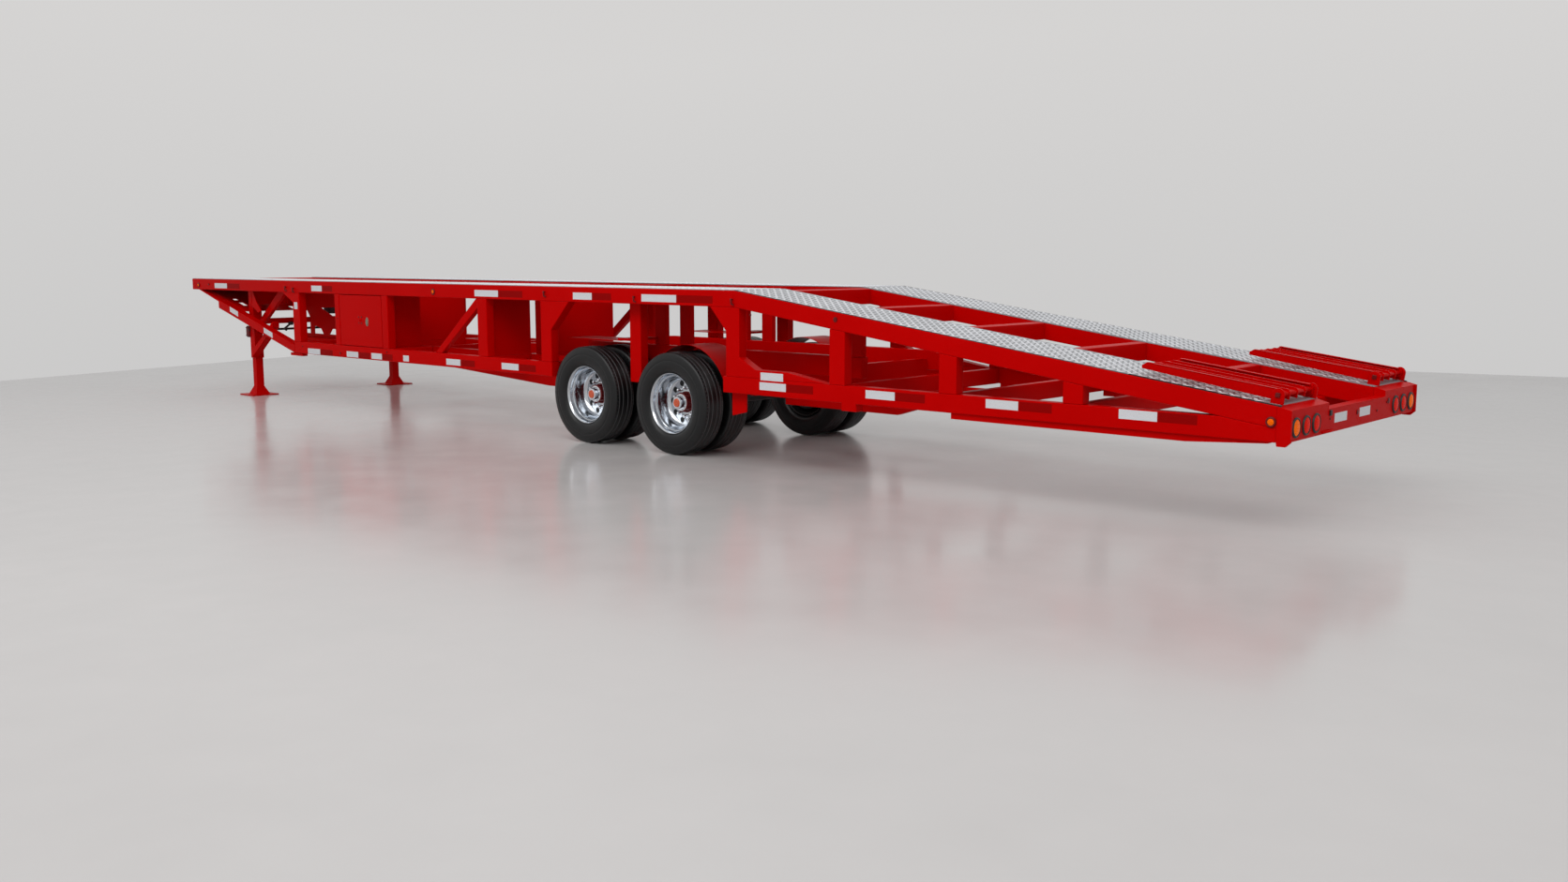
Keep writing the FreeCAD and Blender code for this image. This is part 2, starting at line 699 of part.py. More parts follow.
def build_braces():
    """One diagonal brace on each side, from the lower chord up to the middle post."""
    head = of.post_mid
    brace = [
        (of.brace_foot, chord_top),
        (of.brace_foot + of.brace_foot_run, chord_top),
        (head, rail_bottom - of.brace_width),
        (head, rail_bottom),
        (head - of.brace_width / 2, rail_bottom),
    ]
    node("diagonal_braces", side_plates(
        [brace], side_inner + (of.rail_width - of.brace_thick) / 2, of.brace_thick))


# ---------------------------------------------------------------- nose and landing gear

def build_coupler():
    """Coupler plate with its pick-up ramp and kingpin, its side webs and its wings."""
    half = of.coupler_width / 2
    low = of.coupler_height
    high = of.coupler_height + of.coupler_thick
    plate = [
        (of.rail_width, rail_bottom),
        (of.coupler_front, low),
        (of.coupler_end, low),
        (of.coupler_end, high),
        (of.coupler_front + of.coupler_thick, high),
        (of.rail_width + of.coupler_thick * 2, rail_bottom),
    ]
    flat = pad("XZ_Plane", [plate], 0 - half, of.coupler_width)
    web = [
        (of.coupler_front + of.coupler_thick, high),
        (of.coupler_end, high),
        (of.coupler_end, rail_bottom),
        (of.rail_width + of.coupler_thick * 2, rail_bottom),
    ]
    wing = [
        (of.nose_plate_station, rail_bottom),
        (of.wing_end, nose_line(of.wing_end)),
        (of.wing_end, nose_line(of.wing_end) + of.coupler_thick),
        (of.nose_plate_station + of.coupler_thick * 4, rail_bottom),
    ]
    slot_y = 0 - side_inner + of.wing_slot_inset
    left_wing = pad("XZ_Plane", [wing], 0 - side_inner, side_inner - half)
    for station, run in ((of.wing_slot_one, of.wing_slot_one_run),
                         (of.wing_slot_two, of.wing_slot_two_run)):
        slot = block(station, slot_y, low - of.kingpin_reach, run, of.wing_slot_width,
                     rail_bottom - low + of.kingpin_reach)
        left_wing = cut(left_wing, slot)
    node("coupler_webs", side_plates([web], half - of.coupler_thick, of.coupler_thick),
         left_wing, mirrored(left_wing))
    neck = rod(of.kingpin_neck_radius, of.kingpin_reach - of.kingpin_collar_height,
               of.kingpin_station, 0, low, DOWN)
    collar = rod(of.kingpin_collar_radius, of.kingpin_collar_height, of.kingpin_station, 0,
                 low - of.kingpin_reach + of.kingpin_collar_height, DOWN)
    node("coupler_plate", fused(flat, neck, collar))


def build_landing_gear():
    """Two two-stage legs on wide feet, joined by a tie and stayed by struts."""
    half = of.leg_width / 2
    centre = half_width - of.leg_setback
    inner = centre - half
    sleeve = of.leg_sleeve_width
    leg = block(of.leg_station - half, inner, of.leg_foot_thick, of.leg_width, of.leg_width,
                rail_bottom - of.leg_foot_thick)
    outer = block(of.leg_station - sleeve / 2, centre - sleeve / 2, of.leg_sleeve_height, sleeve,
                  sleeve, rail_bottom - of.leg_sleeve_height)
    foot = block(of.leg_station - of.leg_foot_width / 2, centre - of.leg_foot_width / 2, 0,
                 of.leg_foot_width, of.leg_foot_width, of.leg_foot_thick)
    bell = doc.addObject("Part::Wedge", "Bell")
    bell.Placement.Rotation = Rotation(ALONG_X, 90)
    bind(bell, Placement__Base__x=of.leg_station, Placement__Base__y=centre,
         Placement__Base__z=of.leg_foot_thick)
    flare = of.leg_bell_width / 2
    bind(bell, Xmin=0 - flare, Xmax=flare, Zmin=0 - flare, Zmax=flare, Ymin=0,
         Ymax=of.leg_bell_height, X2min=0 - half, X2max=half, Z2min=0 - half, Z2max=half)
    whole = fused(leg, outer, foot, bell)
    node("landing_legs", whole, mirrored(whole))
    tie_end = centre - sleeve / 2
    tie = block(of.leg_station - of.leg_tie_width / 2, 0 - tie_end, of.leg_tie_height,
                of.leg_tie_width, tie_end * 2, of.leg_tie_width)
    strut = [
        (of.leg_station + sleeve / 2, of.leg_strut_height),
        (of.strut_station + of.leg_strut_run, rail_bottom),
        (of.strut_station, rail_bottom),
        (of.leg_station + sleeve / 2, of.leg_strut_height + of.leg_strut_rise),
    ]
    struts = side_plates([strut], centre - of.leg_brace_width / 2, of.leg_brace_width)
    stay = [
        (of.leg_station + sleeve / 2, of.leg_stay_height),
        (of.leg_station + sleeve / 2 + of.leg_stay_run, of.leg_stay_height + of.leg_stay_climb),
        (of.leg_station + sleeve / 2 + of.leg_stay_run,
         of.leg_stay_height + of.leg_stay_climb + of.leg_stay_depth),
        (of.leg_station + sleeve / 2, of.leg_stay_height + of.leg_stay_depth),
    ]
    stays = side_plates([stay], side_inner - of.leg_brace_width * 2, of.leg_brace_width * 2)
    node("leg_shaft", tie)
    node("leg_struts", struts, stays)


# ---------------------------------------------------------------- toolbox

def build_toolbox():
    """A sheet box in the left side frame, open to the side, with a hinged door."""
    front = of.box_post_front + of.box_post_front_width
    rear = of.box_post_rear
    depth = of.toolbox_depth - of.door_thick - of.door_gap
    face = 0 - half_width + of.door_thick + of.door_gap
    outer = block(front, face, chord_top, rear - front, depth, rail_bottom - chord_top)
    wall = of.toolbox_wall
    hollow = block(front + wall, face - wall, chord_top + wall, rear - front - wall * 2, depth,
                   rail_bottom - chord_top - wall * 2)
    node("toolbox_shell", cut(outer, hollow))
    edge = of.door_thick / 2
    hinge_x = front + of.door_gap + edge
    hinge_y = 0 - half_width + edge
    slab = block(hinge_x, 0 - half_width, chord_top + of.door_gap,
                 rear - of.door_gap - hinge_x, of.door_thick,
                 rail_bottom - chord_top - of.door_gap * 2)
    nosing = rod(edge, rail_bottom - chord_top - of.door_gap * 2, hinge_x, hinge_y,
                 chord_top + of.door_gap, UP)
    pin = rod(of.door_pin_radius, rail_bottom - chord_top - of.seat_gap * 2, hinge_x, hinge_y,
              chord_top + of.seat_gap, UP)
    node("toolbox_door", fused(slab, nosing, pin))


# ---------------------------------------------------------------- running gear

def build_subframe():
    """Beams over the axles, posts up to the deck, hangers, springs and axles."""
    top = chord_top + of.subframe_depth
    beam_end = deck_post_three + of.deck_post_width
    beam = rect(of.post_wheel_front, chord_top, beam_end, top)
    tie = block(deck_post_three - of.rear_tie_width, 0 - subframe_inner, of.rear_tie_height,
                of.rear_tie_width, subframe_inner * 2, of.rear_tie_depth)
    node("suspension_beams", side_plates([beam], subframe_inner, of.subframe_width), tie)
    stubs = [rect(station, top, station + of.deck_post_width, rail_bottom)
             for station in (of.deck_post_one, of.deck_post_two)]
    stubs.append([
        (deck_post_three, top),
        (beam_end, top),
        (beam_end, rail_under(beam_end)),
        (deck_post_three, rail_under(deck_post_three)),
    ])
    node("deck_posts", side_plates(stubs, plate_inner, subframe_outer - plate_inner))

    hangers = []
    ahead = first_axle - of.spring_length / 2
    behind = second_axle + of.spring_length / 2
    for middle in (ahead, of.axle_station, behind):
        station = middle - of.hanger_length / 2
        end = middle + of.hanger_length / 2
        hangers.append([
            (station, chord_top),
            (station + of.hanger_taper, of.hanger_foot),
            (end - of.hanger_taper, of.hanger_foot),
            (end, chord_top),
        ])
    spring_inner = subframe_inner - of.spring_inset
    spring_outer = spring_inner + of.spring_width
    node("spring_hangers", side_plates(hangers, spring_outer, subframe_outer - spring_outer))
    springs = [spring_outline(centre) for centre in (first_axle, second_axle)]
    node("leaf_springs", side_plates(springs, spring_inner, of.spring_width))
    reach = dual_centre + of.hub_reach - of.hub_wall - of.axle_end_gap
    node("axles", *[
        rod(of.axle_radius, reach * 2, centre, 0 - reach, of.tyre_radius, ALONG_Y)
        for centre in (first_axle, second_axle)])


def spring_outline(centre):
    """A leaf spring over an axle: flat in the middle, thinner and higher at its ends."""
    low = of.tyre_radius + of.axle_radius
    ahead = centre - of.spring_length / 2
    behind = centre + of.spring_length / 2
    end_low = low + of.spring_rise
    end_high = end_low + of.spring_thick / 2
    return [
        (ahead, end_low),
        (centre - of.spring_seat, low),
        (centre + of.spring_seat, low),
        (behind, end_low),
        (behind, end_high),
        (centre + of.spring_seat, low + of.spring_thick),
        (centre - of.spring_seat, low + of.spring_thick),
        (ahead, end_high),
    ]


def wheel_profiles():
    """(across, height) outlines of one twin wheel, measured from the centre line outwards."""
    half = of.bead_width / 2
    tread = of.tyre_width / 2
    outer = dual_centre + of.wheel_offset
    inner = dual_centre - of.wheel_offset
    bead = of.bead_radius + of.seat_gap
    tyres = [rect(centre - tread, bead, centre + tread, of.tyre_radius)
             for centre in (outer, inner)]
    back = of.bead_radius - of.rim_wall
    bore = of.axle_radius + of.seat_gap
    disc_face = dual_centre + of.disc_reach
    hub_end = dual_centre + of.hub_reach
    rims = [
        (inner - half, of.bead_radius),
        (outer + half, of.bead_radius),
        (outer + half, back),
        (disc_face, back),
        (disc_face, of.hub_radius),
        (hub_end, of.hub_radius),
        (hub_end, 0),
        (hub_end - of.hub_wall, 0),
        (hub_end - of.hub_wall, bore),
        (inner - half, bore),
    ]
    return tyres, rims


def build_wheels():
    """Four twin wheels, each with its tyres and, in one turned piece, its rims and hub."""
    tyres, rims = wheel_profiles()
    for axle, station in (("front", first_axle), ("rear", second_axle)):
        for side, turn in (("left", 180), ("right", 0)):
            sets = (
                ("tyres", [revolve(outline) for outline in tyres]),
                ("rims", [revolve(rims)]),
            )
            for name, bodies in sets:
                for body in bodies:
                    body.Placement.Rotation = Rotation(UP, turn)
                    bind(body, Placement__Base__x=station, Placement__Base__z=of.tyre_radius)
                node(f"{name}_{axle}_{side}", *bodies)


def build_fenders():
    """Mudguards inside the side frames: a flat one ahead, a curved one behind, each on a strut."""
    root = dual_centre - of.fender_inward
    reach = dual_centre + of.fender_outward
    across = reach - root
    skin = of.fender_radius + of.fender_thick
    level = of.tyre_radius + of.fender_radius
    width = of.fender_strut_width
    flat_front = first_axle - of.fender_radius
    flat_end = flat_front + of.fender_flat_run
    flat = block(flat_front, root, level, of.fender_flat_run, across, of.fender_thick)
    flat_strut = block(flat_end - width, subframe_outer, level + of.fender_thick,
                       of.deck_post_one + width - flat_end + width, reach - subframe_outer,
                       width / 2)
    arc = doc.addObject("Part::Common", "Arc")
    arc.Base = cut(rod(skin, across, second_axle, root, of.tyre_radius, ALONG_Y),
                   rod(of.fender_radius, across, second_axle, root, of.tyre_radius, ALONG_Y))
    arc_front = of.deck_post_two + of.deck_post_width / 2
    arc.Tool = block(arc_front, root, of.tyre_radius + of.fender_lip,
                     second_axle + skin - arc_front, across, skin)
    arc_strut = block(arc_front + of.fender_strut_inset, subframe_outer, of.fender_strut_height,
                      width, reach - subframe_outer, width)
    ahead = fused(flat, flat_strut)
    behind = fused(arc, arc_strut)
    node("mudguards", ahead, behind, mirrored(ahead), mirrored(behind))


# ---------------------------------------------------------------- tail

def build_tail():
    """Tail beam between two end plates, with round lamps on its rear face."""
    face = of.length - of.lamp_reach
    low = rail_top(of.length) - of.tail_lip_drop
    side = [
        (tail_station, of.tail_underside),
        (face, of.tail_underside),
        (face, low),
        (tail_station, rail_top(tail_station)),
    ]
    raised = pad("XZ_Plane", [side], plate_inner, half_width - of.corner_plate_width - plate_inner)
    middle = rect(tail_station, of.tail_underside, face, low - of.tail_centre_drop)
    centre = pad("XZ_Plane", [middle], 0 - plate_inner, plate_inner * 2)
    node("tail_beam", fused(raised, mirrored(raised), centre))
    plate = [
        (tail_station, of.tail_underside),
        (tail_station + of.corner_foot_front, of.corner_foot),
        (of.length - of.corner_foot_rear, of.corner_foot),
        (of.length, of.tail_underside),
        (of.length, low),
        (tail_station, rail_top(tail_station)),
    ]
    node("tail_end_plates", side_plates(
        [plate], half_width - of.corner_plate_width, of.corner_plate_width))
    lamps = [
        rod(of.lamp_radius, of.lamp_reach, face, half_width - of.lamp_inset - of.lamp_pitch * order,
            of.lamp_height, ALONG_X)
        for order in range(3)]
    for name, chosen in (("turn_lamps", lamps[:1]), ("stop_lamps", lamps[1:])):
        node(name, *chosen, *[mirrored(lamp) for lamp in chosen])


def build_store_rails():
    """Rails hung under the rear chords, where loose ramps are kept."""
    end = of.length - of.store_rail_setback
    start = end - of.store_rail_length
    rail = [
        (start, of.chord_underside - of.store_rail_depth),
        (end - of.store_rail_taper, of.chord_underside - of.store_rail_depth),
        (end, of.chord_underside - of.store_rail_tip),
        (end, of.chord_underside),
        (start, of.chord_underside),
    ]
    node("ramp_store_rails", side_plates(
        [rail], side_inner + of.store_rail_inset, of.rail_width - of.store_rail_inset * 2))


# ---------------------------------------------------------------- ramps

RAMP_BARS = 5
RAMP_TIES = 4


def hinge_line(piece):
    """Move a piece drawn about the foot of the ramp hinge onto the sloped deck."""
    station = of.length - of.ramp_hinge_setback
    piece.Placement.Rotation = Rotation(ALONG_Y, 1)
    bind(piece, Placement__Base__x=station,
         Placement__Base__z=rail_top(station) + of.plate_thick,
         Placement__Rotation__Angle=f"atan({slope})")
    return piece


def build_ramps():
    """Two flip ramps lying on the runways, hinged at the tail between upright ears."""
    low = of.ramp_float
    high = of.ramp_float + of.ramp_thick
    toe = 0 - of.ramp_length
    inner = plate_inner + of.ramp_inset
    outer = inner + of.ramp_width
    bar = [
        (of.ramp_heel, low),
        (of.ramp_heel, high - of.ramp_heel_cut),
        (0, high),
        (toe + of.ramp_toe_run, high),
        (toe, low + of.ramp_toe_height),
        (toe, low),
    ]
    pitch = (of.ramp_width - of.ramp_bar_width) / (RAMP_BARS - 1)
    tie_pitch = (of.ramp_length - of.ramp_tie_width) / (RAMP_TIES - 1)
    pin_reach = of.ramp_clearance + of.ramp_ear_thick
    for side, edge in (("left", 0 - outer), ("right", inner)):
        bars = [pad("XZ_Plane", [bar], edge + pitch * order, of.ramp_bar_width)
                for order in range(RAMP_BARS)]
        ties = [block(toe + tie_pitch * order, edge, low, of.ramp_tie_width, of.ramp_width,
                      of.ramp_tie_height)
                for order in range(RAMP_TIES)]
        pins = [rod(of.ramp_pin_radius, pin_reach, 0, across, of.ramp_hinge_rise, ALONG_Y)
                for across in (edge - pin_reach, edge + of.ramp_width)]
        node(f"ramp_{side}", hinge_line(fused(*bars, *ties, *pins)))

    half = of.ramp_ear_half
    crown = of.ramp_hinge_rise + half
    outline = [
        (0 - half, 0),
        (half, 0),
        (half, crown - of.ramp_ear_cut),
        (half - of.ramp_ear_cut, crown),
        (of.ramp_ear_cut - half, crown),
        (0 - half, crown - of.ramp_ear_cut),
    ]
    ears = []
    for across in (inner - pin_reach, outer + of.ramp_clearance):
        bore = rod(of.ramp_pin_radius + of.seat_gap, of.ramp_ear_thick, 0, across,
                   of.ramp_hinge_rise, ALONG_Y)
        plate = pad("XZ_Plane", [outline], across, of.ramp_ear_thick)
        ears.append(hinge_line(cut(plate, bore)))
    node("ramp_hinge_ears", *ears, *[mirrored(ear) for ear in ears])


build_rails()
build_chords()
build_side_posts()
build_deck()
build_lower_deck()
build_braces()
build_coupler()
build_landing_gear()
build_toolbox()
build_subframe()
build_wheels()
build_fenders()
build_tail()
build_store_rails()
build_ramps()
doc.recompute()

for thing in doc.Objects:
    if {"Invalid", "Error"} & set(thing.State):
        raise RuntimeError(f"{thing.Name} ({thing.Label}) failed: {thing.State}")
os.makedirs("parts", exist_ok=True)
for whole in nodes:
    shape = whole.Shape
    if shape.isNull() or not shape.isValid() or not shape.Solids:
        raise RuntimeError(f"{whole.Label} has no valid solid")
    shape.exportStep(f"parts/{whole.Label}.step")
    print(whole.Label, len(shape.Solids), round(shape.Volume / 1e9, 5))
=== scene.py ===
"""Dressed model of a wedge car-hauler semi-trailer.

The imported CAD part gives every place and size. This file softens its welded frame, builds the
wheels, lamps, markings and fittings around it, and sets it on a plain studio floor.
"""
from __future__ import annotations

import json
import logging
import math
from dataclasses import dataclass, field
from enum import Enum
from typing import Callable, Sequence

import bpy
import bmesh
from mathutils import Matrix, Vector


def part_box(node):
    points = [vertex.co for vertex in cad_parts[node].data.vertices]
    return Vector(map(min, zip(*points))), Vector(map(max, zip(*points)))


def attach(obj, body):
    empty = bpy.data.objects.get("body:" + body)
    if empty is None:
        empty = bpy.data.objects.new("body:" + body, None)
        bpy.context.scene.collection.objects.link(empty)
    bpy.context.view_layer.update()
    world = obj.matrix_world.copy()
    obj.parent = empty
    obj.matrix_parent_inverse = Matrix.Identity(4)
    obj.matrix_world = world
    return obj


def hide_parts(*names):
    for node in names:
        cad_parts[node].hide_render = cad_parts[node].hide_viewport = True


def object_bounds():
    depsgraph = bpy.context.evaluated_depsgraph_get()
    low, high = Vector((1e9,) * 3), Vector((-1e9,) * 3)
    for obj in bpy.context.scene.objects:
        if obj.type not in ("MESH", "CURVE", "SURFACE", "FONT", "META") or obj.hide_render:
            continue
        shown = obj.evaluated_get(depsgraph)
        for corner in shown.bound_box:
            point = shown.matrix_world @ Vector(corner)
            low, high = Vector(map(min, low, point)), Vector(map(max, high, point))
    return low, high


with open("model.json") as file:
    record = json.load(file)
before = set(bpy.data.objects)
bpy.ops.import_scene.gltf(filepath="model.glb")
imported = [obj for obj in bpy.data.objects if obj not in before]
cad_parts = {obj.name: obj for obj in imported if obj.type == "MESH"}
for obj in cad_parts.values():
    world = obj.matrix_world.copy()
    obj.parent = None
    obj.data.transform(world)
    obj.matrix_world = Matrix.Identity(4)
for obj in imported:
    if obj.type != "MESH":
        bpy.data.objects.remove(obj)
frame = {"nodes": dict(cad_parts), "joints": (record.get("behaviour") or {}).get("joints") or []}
CAD_LOW, CAD_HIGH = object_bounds()

logging.basicConfig(level=logging.INFO, format="%(name)s: %(message)s")
log = logging.getLogger("car_hauler")

Point = Sequence[float]
ROOT = "trailer_frame"
ORIGIN = (0, 0, 0)
DOUBLES = 1e-5


class Side(Enum):
    """Sides of the trailer; the value is the sign of Y."""

    LEFT = -1
    RIGHT = 1

    @property
    def mirror(self) -> Matrix:
        """What turns a piece drawn for the left into this side's."""
        return Matrix.Scale(-self.value, 4, (0, 1, 0))


# ---------------------------------------------------------------------------- mesh making


def deselect() -> None:
    """Leave edit mode and select nothing."""
    if bpy.context.object and bpy.context.object.mode != "OBJECT":
        bpy.ops.object.mode_set(mode="OBJECT")
    bpy.ops.object.select_all(action="DESELECT")


def activate(piece: bpy.types.Object) -> None:
    """Make one piece the only selected and the active one."""
    deselect()
    piece.select_set(True)
    bpy.context.view_layer.objects.active = piece


def settle(piece: bpy.types.Object) -> None:
    """Put a piece's place into its mesh, so that its object sits unturned at the origin."""
    activate(piece)
    bpy.ops.object.transform_apply(location=True, rotation=True, scale=True)


def finish_modifier(piece: bpy.types.Object, kind: str, **settings: object) -> None:
    """Add a modifier and apply it.

    Args:
        piece: the mesh object.
        kind: Blender's modifier type.
        settings: the modifier's properties.
    """
    activate(piece)
    modifier = piece.modifiers.new(kind.title(), kind)
    for name, value in settings.items():
        setattr(modifier, name, value)
    bpy.ops.object.modifier_apply(modifier=modifier.name)


def round_edges(piece: bpy.types.Object, width: float) -> None:
    """Round a piece's sharp edges and shade its faces flat up to the rounding.

    Args:
        piece: the mesh object.
        width: size of the rounding in metres.
    """
    finish_modifier(piece, "BEVEL", width=width, segments=2, limit_method="ANGLE",
                    angle_limit=math.radians(30), use_clamp_overlap=True)
    smooth(piece, 50)
    finish_modifier(piece, "WEIGHTED_NORMAL", keep_sharp=True)


def smooth(piece: bpy.types.Object, degrees: float) -> None:
    """Shade a piece smooth across edges flatter than an angle."""
    activate(piece)
    bpy.ops.object.shade_smooth_by_angle(angle=math.radians(degrees))


def outward(piece: bpy.types.Object) -> None:
    """Merge a piece's doubles and turn its faces outwards."""
    activate(piece)
    bpy.ops.object.mode_set(mode="EDIT")
    bpy.ops.mesh.select_all(action="SELECT")
    bpy.ops.mesh.remove_doubles(threshold=DOUBLES)
    bpy.ops.mesh.normals_make_consistent(inside=False)
    bpy.ops.object.mode_set(mode="OBJECT")


def block(name: str, low: Point, high: Point, rounding: float) -> bpy.types.Object:
    """A rounded bar or plate between two corners.

    Args:
        name: the new object's name.
        low: lowest corner.
        high: highest corner.
        rounding: edge radius in metres, or 0 for sharp edges.

    Returns:
        The new object, with its place in its mesh.
    """
    deselect()
    centre = [(a + b) / 2 for a, b in zip(low, high)]
    bpy.ops.mesh.primitive_cube_add(size=1, location=centre)
    piece = bpy.context.object
    piece.name = name
    piece.scale = [b - a for a, b in zip(low, high)]
    settle(piece)
    if rounding:
        round_edges(piece, rounding)
    return piece


def rod(name: str, start: Point, end: Point, radius: float, steps: int,
        rounding: float = 0.001) -> bpy.types.Object:
    """A round bar between two points.

    Args:
        name: the new object's name.
        start: centre of one end.
        end: centre of the other end.
        radius: radius in metres.
        steps: sides of the bar.
        rounding: radius of the rims of its ends.

    Returns:
        The new object, with its place in its mesh.
    """
    deselect()
    first, last = Vector(start), Vector(end)
    run = last - first
    bpy.ops.mesh.primitive_cylinder_add(vertices=steps, radius=radius, depth=run.length,
                                        location=(first + last) / 2)
    piece = bpy.context.object
    piece.name = name
    piece.rotation_mode = "QUATERNION"
    piece.rotation_quaternion = run.to_track_quat("Z", "Y")
    settle(piece)
    if rounding:
        finish_modifier(piece, "BEVEL", width=rounding, segments=2, limit_method="ANGLE",
                        angle_limit=math.radians(50))
    smooth(piece, 40)
    return piece


def trace(name: str, points: Sequence[Point]) -> bpy.types.Object:
    """An open line through points, extruded from a single vertex.

    Args:
        name: the new object's name.
        points: the line's corners.

    Returns:
        The new object, in edit mode, with all of it selected.
    """
    deselect()
    bpy.ops.mesh.primitive_plane_add(size=0.01, location=points[0])
    piece = bpy.context.object
    piece.name = name
    bpy.ops.object.transform_apply(location=True)
    bpy.ops.object.mode_set(mode="EDIT")
    bpy.ops.mesh.select_all(action="SELECT")
    bpy.ops.mesh.merge(type="CENTER")
    for here, following in zip(points, points[1:]):
        step = Vector(following) - Vector(here)
        bpy.ops.mesh.extrude_vertices_move(TRANSFORM_OT_translate={"value": step})
    bpy.ops.mesh.select_all(action="SELECT")
    return piece


def turned(name: str, profile: Sequence[Point], centre: Point, steps: int, edge: float
           ) -> bpy.types.Object:
    """A closed ring turned about the Y direction.

    Args:
        name: the new object's name.
        profile: (radius, distance along Y) corners, closed back to the first.
        centre: a point on the axis, from which the distances run.
        steps: segments of a full turn.
        edge: angle in degrees past which an edge stays sharp.

    Returns:
        The new object, with its place in its mesh.
    """
    middle = Vector(centre)
    points = [middle + Vector((0, along, radius)) for radius, along in profile]
    piece = trace(name, points)
    if (points[0] - points[-1]).length > 1e-6 and min(profile[0][0], profile[-1][0]) > 1e-6:
        close_line(piece)
    bpy.ops.mesh.select_all(action="SELECT")
    bpy.ops.mesh.spin(steps=steps, angle=math.tau, center=middle, axis=(0, 1, 0))
    bpy.ops.object.mode_set(mode="OBJECT")
    outward(piece)
    smooth(piece, edge)
    return piece


def close_line(piece: bpy.types.Object) -> None:
    """Join the two ends of an open line that is in edit mode."""
    mesh = bmesh.from_edit_mesh(piece.data)
    for vertex in mesh.verts:
        vertex.select_set(len(vertex.link_edges) == 1)
    mesh.select_flush_mode()
    bmesh.update_edit_mesh(piece.data)
    bpy.ops.mesh.edge_face_add()


def plate(name: str, outline: Sequence[Point], thick: Point, rounding: float
          ) -> bpy.types.Object:
    """A flat plate from an outline, extruded along a direction.

    Args:
        name: the new object's name.
        outline: the corners of one face.
        thick: the direction and length of its thickness.
        rounding: edge radius in metres.

    Returns:
        The new object, with its place in its mesh.
    """
    piece = trace(name, outline)
    bpy.ops.mesh.edge_face_add()
    bpy.ops.mesh.extrude_region_move(TRANSFORM_OT_translate={"value": Vector(thick)})
    bpy.ops.object.mode_set(mode="OBJECT")
    outward(piece)
    if rounding:
        round_edges(piece, rounding)
    return piece


def copy_of(piece: bpy.types.Object, name: str, change: Matrix | None = None) -> bpy.types.Object:
    """A copy of a piece with its own mesh.

    Args:
        piece: what is copied.
        name: the copy's name.
        change: how the copy's mesh is moved, turned or mirrored.

    Returns:
        The copy.
    """
    copy = piece.copy()
    copy.data = piece.data.copy()
    copy.name = name
    copy.parent = None
    for key in list(copy.keys()):
        del copy[key]
    bpy.context.scene.collection.objects.link(copy)
    if change is not None:
        copy.data.transform(change)
        if change.determinant() < 0:
            copy.data.flip_normals()
    return copy


def joined(name: str, pieces: Sequence[bpy.types.Object]) -> bpy.types.Object:
    """Several pieces as one object."""
    deselect()
    for piece in pieces:
        piece.select_set(True)
    bpy.context.view_layer.objects.active = pieces[0]
    bpy.ops.object.join()
    whole = bpy.context.object
    whole.name = name
    return whole


def move(x: float = 0, y: float = 0, z: float = 0) -> Matrix:
    """A shift."""
    return Matrix.Translation((x, y, z))


def repeated(name: str, pattern: bpy.types.Object, changes: Sequence[Matrix]
             ) -> bpy.types.Object:
    """Copies of a pattern as one object. The pattern itself goes.

    Args:
        name: the new object's name.
        pattern: what is copied.
        changes: how each copy is moved, turned or mirrored.

    Returns:
        The copies as one object.
    """
    copies = [copy_of(pattern, name, change) for change in changes]
    bpy.data.objects.remove(pattern)
    return joined(name, copies)


def circle(count: int, radius: float, first: float = 0.0) -> list[Matrix]:
    """Shifts to places spaced evenly round the Y axis.

    Args:
        count: number of places.
        radius: their distance from the axis.
        first: where the first lies, as a share of the spacing.

    Returns:
        The shifts.
    """
    turns = [math.tau * (order + first) / count for order in range(count)]
    return [move(radius * math.sin(turn), 0, radius * math.cos(turn)) for turn in turns]


def turns_about_y(count: int, first: float = 0.0) -> list[Matrix]:
    """Turns spaced evenly about the Y axis."""
    return [Matrix.Rotation(math.tau * (order + first) / count, 4, "Y") for order in range(count)]


# ---------------------------------------------------------------------------- node trees


